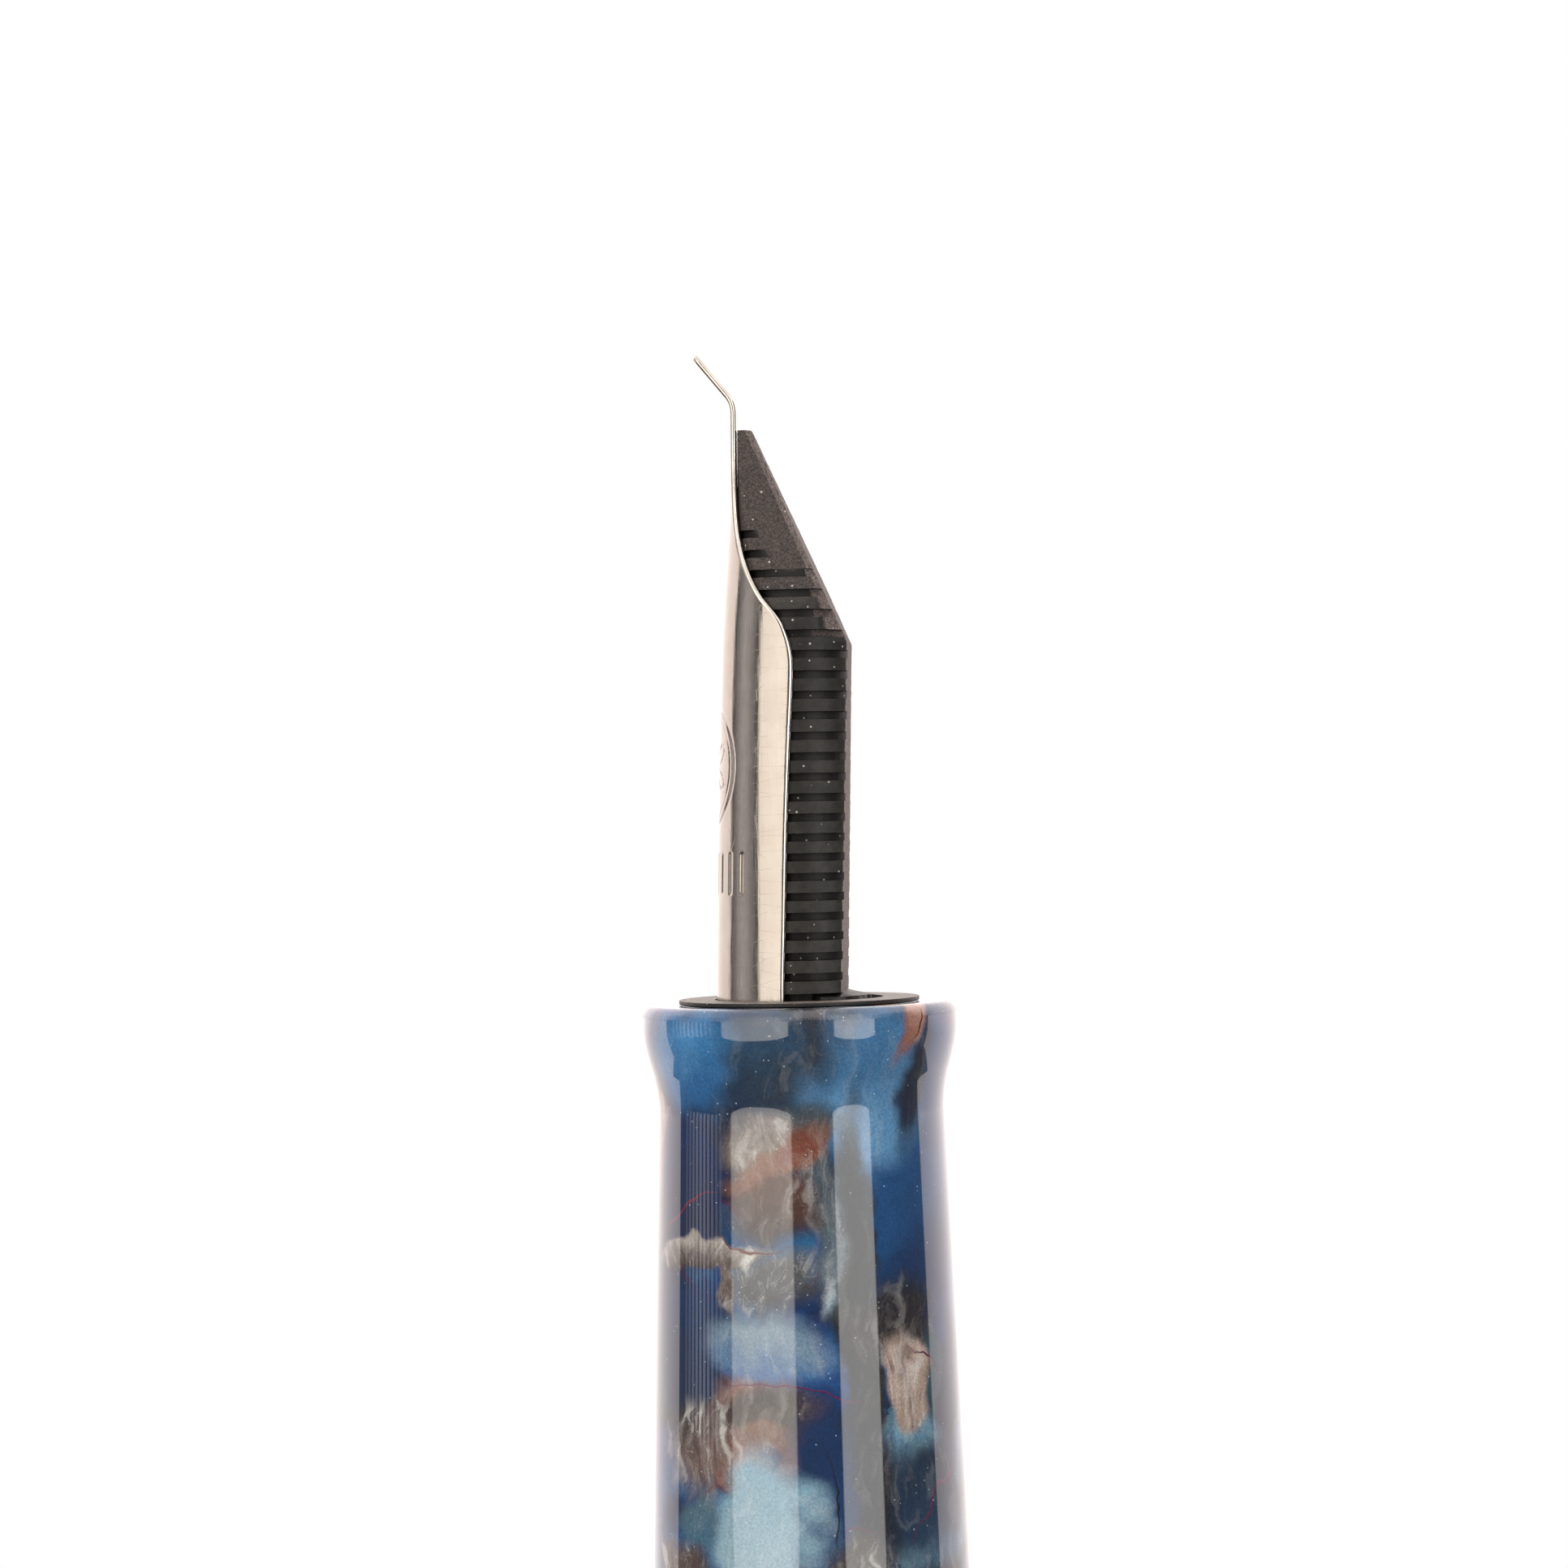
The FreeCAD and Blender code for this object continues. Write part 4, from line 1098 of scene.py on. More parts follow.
def ebonite():
    """Hard rubber: nearly black and satin where it is turned, brown-grey and granular where ground. The
    flat underside carries painted sheen and the slot floors painted shade.
    """
    material, tree, shader, in_mm = new_material("ebonite, sawn and ground")
    mottle = add(tree, "TexNoise", {"Vector": in_mm, "Scale": 2.2, "Detail": 5.0}).outputs[0]
    base = add(
        tree,
        "Mix",
        {
            0: add(
                tree,
                "MapRange",
                {"Value": mottle, "From Min": 0.35, "From Max": 0.7},
                interpolation_type="SMOOTHSTEP",
            ).outputs[0],
            6: "#24221f",
            7: "#322f2c",
        },
        data_type="RGBA",
    ).outputs[2]
    # Grit from the wheel, 0.05 to 0.1 mm.
    grit = add(
        tree, "TexNoise", {"Vector": in_mm, "Scale": 13.0, "Detail": 4.0, "Roughness": 0.7}
    ).outputs[0]
    facing = add(tree, "SeparateXYZ", {0: add(tree, "NewGeometry").outputs["True Normal"]}).outputs
    place = add(tree, "SeparateXYZ", {0: in_mm}).outputs
    height = place[2]
    # The floors of the slots are painted near-black: painted shade in the sawn recesses, which get little
    # light.
    leaning_x = add(
        tree,
        "Math",
        {0: height, 1: -math.tan(FEED_LEAN), 2: LIP * math.tan(FEED_LEAN)},
        operation="MULTIPLY_ADD",
    ).outputs[0]
    leaning_x = add(tree, "Math", {0: place[0], 1: leaning_x}, operation="ADD").outputs[0]
    square = add(
        tree,
        "Math",
        {
            0: leaning_x,
            1: leaning_x,
            2: add(tree, "Math", {0: place[1], 1: place[1]}, operation="MULTIPLY").outputs[0],
        },
        operation="MULTIPLY_ADD",
    ).outputs[0]
    out_from_axis = add(tree, "Math", {0: square}, operation="SQRT").outputs[0]
    painted_slot_shade = add(
        tree,
        "MapRange",
        {"Value": out_from_axis, "From Min": 2.62, "From Max": 2.3},
        interpolation_type="SMOOTHSTEP",
    ).outputs[0]
    finned = add(
        tree,
        "MapRange",
        {"Value": height, "From Min": LIP + 14.6, "From Max": LIP + 14.2},
        interpolation_type="SMOOTHSTEP",
    ).outputs[0]
    front = add(
        tree,
        "MapRange",
        {"Value": height, "From Min": LIP + 14.2, "From Max": LIP + 16.0},
        interpolation_type="SMOOTHSTEP",
    ).outputs[0]
    ground_side = add(
        tree,
        "Mix",
        {
            0: add(
                tree,
                "MapRange",
                {"Value": grit, "From Min": 0.38, "From Max": 0.68},
                interpolation_type="SMOOTHSTEP",
            ).outputs[0],
            6: "#2f2a28",
            7: "#5d524e",
        },
        data_type="RGBA",
    ).outputs[2]
    base = add(tree, "Mix", {0: front, 6: base, 7: ground_side}, data_type="RGBA").outputs[2]
    turn = add(
        tree,
        "Math",
        {
            0: add(
                tree,
                "Math",
                {
                    0: add(
                        tree, "Math", {0: height, 1: LIP + FIRST_SLOT - SLOT_DRIFT}, operation="SUBTRACT"
                    ).outputs[0],
                    1: FIN_PITCH,
                },
                operation="DIVIDE",
            ).outputs[0],
        },
        operation="FRACT",
    ).outputs[0]
    sawn = add(tree, "Math", {0: turn, 1: FIN_SLOT / FIN_PITCH}, operation="LESS_THAN").outputs[0]
    sawn = add(
        tree,
        "Math",
        {0: sawn, 1: add(tree, "Math", {0: height, 1: LIP + 18.0}, operation="LESS_THAN").outputs[0]},
        operation="MULTIPLY",
    ).outputs[0]
    sawn = add(
        tree,
        "Math",
        {
            0: sawn,
            1: add(
                tree,
                "MapRange",
                {"Value": out_from_axis, "From Min": 2.06, "From Max": 2.12},
                interpolation_type="SMOOTHSTEP",
            ).outputs[0],
        },
        operation="MULTIPLY",
    ).outputs[0]
    # Painted shade: the slot floors, and the slots sawn into the wedge, take a near-black colour.
    base = add(
        tree,
        "Mix",
        {
            0: add(
                tree,
                "Math",
                {
                    0: painted_slot_shade,
                    1: add(tree, "Math", {0: sawn, 1: finned}, operation="MAXIMUM").outputs[0],
                },
                operation="MULTIPLY",
            ).outputs[0],
            6: base,
            7: "#161211",
        },
        data_type="RGBA",
    ).outputs[2]
    # The flat underside and the wedge's bevels are picked by the way they face and painted lighter. This is
    # partly the brown-grey of ground ebonite and partly painted grazing sheen.
    sideways = add(tree, "Math", {0: facing[1]}, operation="ABSOLUTE").outputs[0]
    under = add(
        tree,
        "Math",
        {
            0: add(
                tree,
                "MapRange",
                {"Value": sideways, "From Min": 0.35, "From Max": 0.2},
                interpolation_type="SMOOTHSTEP",
            ).outputs[0],
            1: add(
                tree,
                "MapRange",
                {"Value": facing[0], "From Min": 0.6, "From Max": 0.8},
                interpolation_type="SMOOTHSTEP",
            ).outputs[0],
        },
        operation="MULTIPLY",
    ).outputs[0]
    bevelled = add(
        tree,
        "Math",
        {
            0: add(
                tree,
                "MapRange",
                {"Value": facing[0], "From Min": 0.5, "From Max": 0.6},
                interpolation_type="SMOOTHSTEP",
            ).outputs[0],
            1: add(
                tree,
                "MapRange",
                {"Value": height, "From Min": LIP + 13.5, "From Max": LIP + 13.7},
                interpolation_type="SMOOTHSTEP",
            ).outputs[0],
        },
        operation="MULTIPLY",
    ).outputs[0]
    bevelled = add(
        tree,
        "Math",
        {
            0: bevelled,
            1: add(
                tree,
                "MapRange",
                {"Value": out_from_axis, "From Min": 2.47, "From Max": 2.4},
                interpolation_type="SMOOTHSTEP",
            ).outputs[0],
        },
        operation="MULTIPLY",
    ).outputs[0]
    under = add(tree, "Math", {0: under, 1: bevelled}, operation="MAXIMUM").outputs[0]
    ground_flat_and_sheen = add(
        tree,
        "Mix",
        {
            0: add(
                tree,
                "MapRange",
                {"Value": grit, "From Min": 0.35, "From Max": 0.68},
                interpolation_type="SMOOTHSTEP",
            ).outputs[0],
            6: "#4d4341",
            7: "#857873",
        },
        data_type="RGBA",
    ).outputs[2]
    base = add(tree, "Mix", {0: under, 6: base, 7: ground_flat_and_sheen}, data_type="RGBA").outputs[2]
    specks = add(tree, "TexVoronoi", {"Vector": in_mm, "Scale": 3.4}, feature="F1")
    chosen = add(tree, "SeparateColor", {0: specks.outputs["Color"]}).outputs[0]
    speck = add(
        tree,
        "Math",
        {
            0: specks.outputs["Distance"],
            1: add(
                tree,
                "MapRange",
                {"Value": chosen, "From Min": 0.5, "From Max": 1.0, "To Min": 0.0, "To Max": 0.15},
                interpolation_type="SMOOTHSTEP",
            ).outputs[0],
        },
        operation="LESS_THAN",
    ).outputs[0]
    base = add(
        tree,
        "Mix",
        {
            0: add(tree, "Math", {0: speck, 1: 0.75}, operation="MULTIPLY").outputs[0],
            6: base,
            7: "#c9c2bd",
        },
        data_type="RGBA",
    ).outputs[2]
    tree.links.new(base, shader.inputs["Base Color"])
    worn = add(tree, "Math", {0: front, 1: under}, operation="MAXIMUM").outputs[0]
    tree.links.new(
        add(tree, "Math", {0: worn, 1: 0.2, 2: 0.44}, operation="MULTIPLY_ADD").outputs[0],
        shader.inputs["Roughness"],
    )
    shader.inputs["Specular IOR Level"].default_value = 0.34
    fine = add(tree, "TexNoise", {"Vector": in_mm, "Scale": 20.0, "Detail": 2.0}).outputs[0]
    relief = add(
        tree,
        "Math",
        {
            0: add(tree, "Math", {0: grit, 1: worn}, operation="MULTIPLY").outputs[0],
            1: 1.0,
            2: add(tree, "Math", {0: fine, 1: 0.3}, operation="MULTIPLY").outputs[0],
        },
        operation="MULTIPLY_ADD",
    ).outputs[0]
    bump = add(tree, "Bump", {"Height": relief, "Strength": 0.6, "Distance": 0.00003})
    tree.links.new(bump.outputs[0], shader.inputs["Normal"])
    return material


paint(feed, ebonite())

# ---- Nib -------------------------------------------------------------------------------------------
# Stainless steel sheet, blanked, stamped with its ornament, rolled to a half tube over the feed and
# polished. It has a round breather hole, a slit down to the tip, and a tip that is bent up.

BREATHER_AT = 13.0
BREATHER_R = 0.7
SLIT_HALF = 0.028
BEND_R = 1.0
BEND = math.radians(38.8)
TIP_REACH = 1.95
TIPPING = 0.8
TIP_HALF = 0.54
EMBLEM_AT = 8.9
NIB_FOOT = -10.9


def ornament(across, height):
    """Depth of the stamping: two rings round a six-petalled figure, and a band of short strokes."""
    depth = 0.0
    dy = height - EMBLEM_AT
    ring_r = math.hypot(across * 1.15, dy)
    if ring_r < 2.8:
        turn = math.atan2(across, dy)
        petals = 1.55 * abs(math.cos(3 * turn))
        for at, half, deep in ((2.25, 0.07, 0.035), (1.98, 0.04, 0.02), (petals, 0.06, 0.03)):
            depth = max(depth, deep * min(1.0, max(0.0, 1.6 - abs(ring_r - at) / half)))
    stroke = (across / 0.62 + 0.5) % 1.0 - 0.5
    if abs(across) < 2.95 and 4.15 < height < 5.75:
        inside = min(1.0, (height - 4.15) / 0.08, (5.75 - height) / 0.08)
        depth = max(depth, 0.04 * inside * min(1.0, max(0.0, 1.6 - abs(stroke * 0.62) / 0.075)))
    return depth


def sheet_spot(along, across, sunk):
    """A point of the sheet: along it from the lip, across it from its middle, and sunk below its top."""
    last = NIB_CURL[-1][0]
    if along <= last:
        top_x, curl_r, _ = nib_curl(along)
        turn = across / (curl_r - NIB_SHEET / 2)
        r = curl_r - sunk
        return top_x + curl_r - r * math.cos(turn), r * math.sin(turn), LIP + along
    top_x = NIB_CURL[-1][1]
    turned_by = min(BEND, (along - last) / BEND_R)
    run = max(0.0, along - last - BEND * BEND_R)
    # The sheet's middle follows an arc about a pivot on its upper side, then runs straight.
    pivot_x = top_x + NIB_SHEET / 2 - BEND_R
    r = BEND_R + (sunk - NIB_SHEET / 2)
    x = pivot_x + r * math.cos(turned_by) - run * math.sin(turned_by)
    z = last + r * math.sin(turned_by) + run * math.cos(turned_by)
    return x, across, LIP + z


SHEET_END = NIB_CURL[-1][0] + BEND * BEND_R + TIP_REACH
TIPPING_START = SHEET_END - TIPPING


def half_width(along):
    """Half the sheet's width, with the tip's end rounded."""
    last = NIB_CURL[-1][0]
    if along <= last:
        return nib_curl(along)[2]
    share = (along - last) / (SHEET_END - last)
    width = NIB_CURL[-1][3] + (TIP_HALF - NIB_CURL[-1][3]) * share
    corner = 0.3
    into = along - (SHEET_END - corner)
    if into > 0:
        width = width - corner + math.sqrt(max(corner**2 - into**2, 0.0))
    return width


def inner_edge(along):
    """Where a tine's inner edge runs: round the breather hole, then along the slit."""
    off = along - BREATHER_AT
    if abs(off) < BREATHER_R:
        return max(math.sqrt(BREATHER_R**2 - off**2), SLIT_HALF if off > 0 else 0.0)
    return SLIT_HALF if off > 0 else 0.0


def nib_rows():
    """Distances along the sheet, close together at the stamping, the hole and the bend."""
    out = rows(NIB_FOOT, 3.9, 0.35) + rows(3.95, 11.9, 0.05)
    hole = [BREATHER_AT - BREATHER_R * math.cos(math.pi * i / 36) for i in range(37)]
    return out + rows(11.98, 12.28, 0.1) + hole + rows(13.75, 22.1, 0.07) + rows(22.15, TIPPING_START, 0.05)


# The sheet's cut edge from its top face to its underside, as (in from the edge, below the top).
CUT_EDGE = ((0.14, 0.0), (0.06, 0.02), (0.015, 0.065), (0.0, 0.12), (0.025, 0.19), (0.09, NIB_SHEET))
WALL = (0.17, 0.07)


def half_sheet(alongs, columns, sign):
    """One side of the sheet as a closed shell of points and faces, from its inner edge to its wing."""
    points, faces, slots = [], [], []
    for along in alongs:
        near, far = inner_edge(along), half_width(along)
        far -= 0.05 * max(0.0, noise.noise((along * 5.0, sign, 0.3)) - 0.45)
        share = [(k / (columns - 1)) ** 0.94 for k in range(columns)]
        top_edge, under_edge = far - CUT_EDGE[0][0] - near, far - CUT_EDGE[-1][0] - near
        spots = [(near + top_edge * t, ornament(near + top_edge * t, along)) for t in share]
        spots += [(far - inset, sunk) for inset, sunk in CUT_EDGE[1:-1]]
        spots += [(near + under_edge * t, NIB_SHEET) for t in reversed(share)]
        spots += [(near, sunk) for sunk in WALL]
        for across, sunk in spots:
            x, y, z = sheet_spot(along, across, sunk)
            points.append((x, sign * y, z))
    loop = 2 * columns + 6
    for row in range(len(alongs) - 1):
        parted = inner_edge(alongs[row]) > 1e-6 or inner_edge(alongs[row + 1]) > 1e-6
        for k in range(loop):
            if k >= loop - 3 and not parted:
                continue
            j = (k + 1) % loop
            faces.append((row * loop + k, row * loop + j, (row + 1) * loop + j, (row + 1) * loop + k))
            slots.append(int(columns - 1 <= k <= columns + 3))
    for base in (0, (len(alongs) - 1) * loop):
        below = base + 2 * columns + 3
        faces += [(base + k, base + k + 1, below - k - 1, below - k) for k in range(columns - 1)]
        faces.append(tuple(range(base + columns - 1, base + columns + 5)))
        if inner_edge(alongs[0 if base == 0 else -1]) > 1e-6:
            faces.append((base, below, below + 1, below + 2))
    return points, faces, slots + [1] * (len(faces) - len(slots))


def both_sides(name, alongs, columns):
    """The whole sheet from two mirrored sides, welded down the middle where nothing parts them."""
    points, faces, slots = [], [], []
    for sign in (1, -1):
        more, more_faces, more_slots = half_sheet(alongs, columns, sign)
        faces += [tuple(i + len(points) for i in face) for face in more_faces]
        points += more
        slots += more_slots
    return piece(name, "nib_and_feed", points, faces, crease=50, slots=slots)


nib = both_sides("steel_nib", nib_rows(), 84)
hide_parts("nib")
ends = rows(TIPPING_START, SHEET_END - 0.3, 0.05)
ends += [SHEET_END - 0.3 * (1 - math.sin(math.pi / 2 * i / 12)) for i in range(1, 13)]
tipping = both_sides("nib_tipping_alloy", ends, 20)
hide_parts("nib_tipping")


def nib_steel(name, tint, relief_strength=0.2):
    """Polished stainless sheet: lengthwise buffing lines, faint orange peel, small pits and scratches."""
    material, tree, shader, in_mm = new_material(name)
    shader.inputs["Metallic"].default_value = 1.0
    mottle = add(tree, "TexNoise", {"Vector": in_mm, "Scale": 1.3, "Detail": 5.0}).outputs[0]
    tree.links.new(
        add(
            tree,
            "Mix",
            {
                0: add(
                    tree,
                    "MapRange",
                    {"Value": mottle, "From Min": 0.35, "From Max": 0.7},
                    interpolation_type="SMOOTHSTEP",
                ).outputs[0],
                6: tint[0],
                7: tint[1],
            },
            data_type="RGBA",
        ).outputs[2],
        shader.inputs["Base Color"],
    )
    along = add(tree, "VectorMath", {0: in_mm, 1: (14.0, 14.0, 0.5)}, operation="MULTIPLY").outputs[0]
    lines = add(tree, "TexNoise", {"Vector": along, "Scale": 1.0, "Detail": 3.0}).outputs[0]
    tree.links.new(
        add(
            tree,
            "MapRange",
            {"Value": lines, "From Min": 0.3, "From Max": 0.7, "To Min": 0.1, "To Max": 0.2},
            interpolation_type="SMOOTHSTEP",
        ).outputs[0],
        shader.inputs["Roughness"],
    )
    peel = add(tree, "TexNoise", {"Vector": in_mm, "Scale": 7.0, "Detail": 2.0}).outputs[0]
    pits = add(tree, "TexVoronoi", {"Vector": in_mm, "Scale": 1.7}, feature="F1")
    chosen = add(tree, "SeparateColor", {0: pits.outputs["Color"]}).outputs[0]
    pit = add(
        tree,
        "MapRange",
        {
            "Value": add(
                tree,
                "Math",
                {
                    0: pits.outputs["Distance"],
                    1: add(
                        tree,
                        "MapRange",
                        {
                            "Value": chosen,
                            "From Min": 0.6,
                            "From Max": 1.0,
                            "To Min": -0.05,
                            "To Max": 0.07,
                        },
                        interpolation_type="SMOOTHSTEP",
                    ).outputs[0],
                },
                operation="SUBTRACT",
            ).outputs[0],
            "From Min": 0.03,
            "From Max": 0.0,
        },
        interpolation_type="SMOOTHSTEP",
    ).outputs[0]
    slanted = add(
        tree, "Mapping", {"Vector": in_mm, "Rotation": (0.3, 0.9, 0.0), "Scale": (0.7, 0.7, 3.0)}
    ).outputs[0]
    cuts = add(
        tree, "TexVoronoi", {"Vector": slanted, "Scale": 0.6}, feature="DISTANCE_TO_EDGE"
    ).outputs["Distance"]
    cut = add(
        tree,
        "MapRange",
        {"Value": cuts, "From Min": 0.006, "From Max": 0.0},
        interpolation_type="SMOOTHSTEP",
    ).outputs[0]
    relief = add(tree, "Math", {0: lines, 1: 0.3}, operation="MULTIPLY").outputs[0]
    relief = add(tree, "Math", {0: peel, 1: 0.3, 2: relief}, operation="MULTIPLY_ADD").outputs[0]
    relief = add(tree, "Math", {0: pit, 1: -0.8, 2: relief}, operation="MULTIPLY_ADD").outputs[0]
    relief = add(tree, "Math", {0: cut, 1: -0.25, 2: relief}, operation="MULTIPLY_ADD").outputs[0]
    bump = add(tree, "Bump", {"Height": relief, "Strength": relief_strength, "Distance": 0.00002})
    tree.links.new(bump.outputs[0], shader.inputs["Normal"])
    return material


cut_steel = nib_steel("stainless sheet, tumbled cut edge", ("#c6bfb6", "#d8d2c9"), 0.06)
paint(nib, nib_steel("stainless sheet, polished", ("#aaa198", "#aea69d"), 0.24), cut_steel)
paint(tipping, nib_steel("ground tipping alloy", ("#b3aca4", "#c2bbb3"), 0.05), cut_steel)

# ---- Barrel, its bush, ring and end ----------------------------------------------------------------
# The handle: a cigar-shaped tube turned from the same resin, with the cap's thread cut on its neck. A
# brass bush in its mouth takes the section, and a steel ring and a resin end close its tail.

TAIL = low("tail_finial")
BARREL_END = low("barrel")
BARREL_FRONT = high("barrel")
NECK = BARREL_FRONT - 6.5
BARREL_R = 6.6
NECK_R = 6.4
TAIL_R = 4.7
STRAIGHT = 15.5
TAPER_TOP = NECK - STRAIGHT
TAPER_ARC_R = ((TAPER_TOP - TAIL) ** 2 + (BARREL_R - TAIL_R) ** 2) / (2 * (BARREL_R - TAIL_R))


def barrel_radius(z):
    """Radius of the barrel's taper at a height."""
    below = max(0.0, TAPER_TOP - z)
    return BARREL_R - TAPER_ARC_R + math.sqrt(TAPER_ARC_R**2 - below**2)


barrel = turned(
    "resin_barrel",
    "barrel",
    [(2.0, BARREL_END), (barrel_radius(BARREL_END) - 0.08, BARREL_END)]
    + [(barrel_radius(z), z) for z in rows(BARREL_END + 0.08, TAPER_TOP, 1.5)]
    + arc((BARREL_R, NECK - 0.35), (BARREL_R - 0.1, NECK - 0.1), (BARREL_R - 0.35, NECK), 8)
    + [(BARREL_R - 0.35, NECK + 0.6), (NECK_R - 0.04, NECK + 0.8)]
    + [(NECK_R, z) for z in rows(NECK + 0.85, BARREL_FRONT - 0.5, 0.06)]
    + [(NECK_R - 0.3, BARREL_FRONT), (5.2, BARREL_FRONT), (5.2, BARREL_FRONT - 9)]
    + [(4.25, BARREL_FRONT - 9), (4.25, TAIL + 11), (0, TAIL + 11), (0, TAIL + 8.6), (2.0, TAIL + 8.6)],
    shape=thread(NECK_R, 0.24, 0.8, 3, NECK + 0.85, BARREL_FRONT - 0.55, 0.4),
    around=224,
)
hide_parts("barrel")

tail_ring = turned(
    "tail_trim_ring",
    "barrel",
    rounded(
        [
            (2.0, BARREL_END - 0.6),
            (barrel_radius(BARREL_END - 0.6) + 0.06, BARREL_END - 0.6),
            (barrel_radius(BARREL_END) + 0.04, BARREL_END),
            (2.0, BARREL_END),
        ],
        0.1,
    ),
)
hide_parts("tail_ring")

RING_FOOT = BARREL_END - 0.6
tail_end = turned(
    "tail_resin_end",
    "barrel",
    [(0, TAIL), (TAIL_R - 1.6, TAIL)]
    + arc((TAIL_R - 1.6, TAIL), (TAIL_R - 0.42, TAIL + 0.5), (barrel_radius(TAIL + 1.6), TAIL + 1.6))
    + [(barrel_radius(z), z) for z in rows(TAIL + 2.0, RING_FOOT, 0.6)]
    + [(1.98, RING_FOOT), (1.98, high("tail_finial")), (0, high("tail_finial"))],
)
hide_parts("tail_finial")

body_resin = cast_resin("cast resin with pearl chips, barrel and cap", [], (0.0, 0.0, 0.0))
paint(barrel, body_resin)
paint(tail_end, body_resin)
paint(tail_ring, polished_steel)


def brass():
    """Turned brass: warm yellow, with tool marks round the axis and a little tarnish."""
    material, tree, shader, in_mm = new_material("turned brass")
    shader.inputs["Metallic"].default_value = 1.0
    tarnish = add(tree, "TexNoise", {"Vector": in_mm, "Scale": 0.9, "Detail": 5.0}).outputs[0]
    base = add(
        tree,
        "Mix",
        {
            0: add(
                tree,
                "MapRange",
                {"Value": tarnish, "From Min": 0.45, "From Max": 0.75},
                interpolation_type="SMOOTHSTEP",
            ).outputs[0],
            6: "#d3ab5e",
            7: "#8d6b34",
        },
        data_type="RGBA",
    ).outputs[2]
    tree.links.new(base, shader.inputs["Base Color"])
    around = add(tree, "VectorMath", {0: in_mm, 1: (0.2, 0.2, 12.0)}, operation="MULTIPLY").outputs[0]
    lines = add(tree, "TexNoise", {"Vector": around, "Scale": 1.0, "Detail": 2.0}).outputs[0]
    tree.links.new(
        add(
            tree,
            "MapRange",
            {"Value": lines, "From Min": 0.3, "From Max": 0.7, "To Min": 0.2, "To Max": 0.34},
            interpolation_type="SMOOTHSTEP",
        ).outputs[0],
        shader.inputs["Roughness"],
    )
    bump = add(tree, "Bump", {"Height": lines, "Strength": 0.5, "Distance": 0.00003})
    tree.links.new(bump.outputs[0], shader.inputs["Normal"])
    return material


turned_brass = brass()
paint(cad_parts["barrel_thread_bush"], turned_brass)

# ---- Converter -------------------------------------------------------------------------------------
# The refillable ink tank: a clear tube pushed on the nib unit's nipple, with a rubber piston on a
# threaded rod that the knob winds, and a loose steel ball that keeps the ink moving.


def clear_plastic():
    """Clear polycarbonate, moulded, with faint flow marks."""
    material, tree, shader, in_mm = new_material("clear polycarbonate")
    flow = add(tree, "VectorMath", {0: in_mm, 1: (1.0, 1.0, 0.15)}, operation="MULTIPLY").outputs[0]
    marks = add(tree, "TexNoise", {"Vector": flow, "Scale": 1.2, "Detail": 3.0}).outputs[0]
    tree.links.new(
        add(tree, "Mix", {0: marks, 6: "#e6eef0", 7: "#f4f8f8"}, data_type="RGBA").outputs[2],
        shader.inputs["Base Color"],
    )
    tree.links.new(
        add(
            tree,
            "MapRange",
            {"Value": marks, "From Min": 0.3, "From Max": 0.7, "To Min": 0.04, "To Max": 0.1},
            interpolation_type="SMOOTHSTEP",
        ).outputs[0],
        shader.inputs["Roughness"],
    )
    shader.inputs["IOR"].default_value = 1.58
    shader.inputs["Transmission Weight"].default_value = 0.95
    return material


for node, material in (
    ("converter_tube", clear_plastic()),
    ("converter_collar", polished_steel),
    ("converter_knob", black_plastic),
    ("converter_rod", plated_steel),
    ("converter_seal", rubber),
    ("agitator_ball", plated_steel),
):
    paint(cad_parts[node], material)

# ---- Cap: shell, band, inner cap, end and screw ----------------------------------------------------
# The cap is posted on the barrel's tail. Its shell and end are resin, a steel band stiffens its mouth,
# a black inner cap seals the nib when the pen is capped, and a brass screw holds the end and the clip.

CAP_MOUTH = high("cap_shell")
SHELL_FOOT = low("cap_shell")
BAND_FOOT = low("cap_band")
BAND_TOP = high("cap_band")
CAP_MOUTH_R = 7.5
CAP_TOP_R = 6.75
BAND_GROOVE_R = 7.05
BAND_R = 7.56
LINER_R = 5.95
LINER_MOUTH = high("cap_liner")
CAP_BORE_R = 6.45
CREST_R = 6.18


def cap_radius(z):
    """Radius of the cap's shell, which narrows slowly towards its end."""
    share = (CAP_MOUTH - z) / (CAP_MOUTH - SHELL_FOOT)
    return CAP_MOUTH_R - (CAP_MOUTH_R - CAP_TOP_R) * share**1.6


shell = turned(
    "cap_resin_shell",
    "cap",
    [(2.1, SHELL_FOOT), (CAP_TOP_R - 0.12, SHELL_FOOT), (CAP_TOP_R - 0.02, SHELL_FOOT + 0.1)]
    + [(cap_radius(z), z) for z in rows(SHELL_FOOT + 0.4, BAND_FOOT, 1.2)]
    + [(BAND_GROOVE_R, BAND_FOOT), (BAND_GROOVE_R, BAND_TOP), (CAP_MOUTH_R - 0.05, BAND_TOP)]
    + [(CAP_MOUTH_R, BAND_TOP + 0.08), (CAP_MOUTH_R, CAP_MOUTH - 0.5)]
    + arc(
        (CAP_MOUTH_R, CAP_MOUTH - 0.5),
        (CAP_MOUTH_R - 0.15, CAP_MOUTH - 0.15),
        (CAP_MOUTH_R - 0.5, CAP_MOUTH),
        8,
    )
    + [(CREST_R + 0.4, CAP_MOUTH), (CREST_R + 0.04, CAP_MOUTH - 0.36)]
    + [(CREST_R, z) for z in rows(CAP_MOUTH - 0.4, CAP_MOUTH - 6.7, 0.1)]
    + [(CAP_BORE_R, CAP_MOUTH - 7), (CAP_BORE_R, LINER_MOUTH + 0.5), (LINER_R, LINER_MOUTH)]
    + [(LINER_R, SHELL_FOOT + 3), (2.1, SHELL_FOOT + 3)],
    around=224,
)
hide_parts("cap_shell")

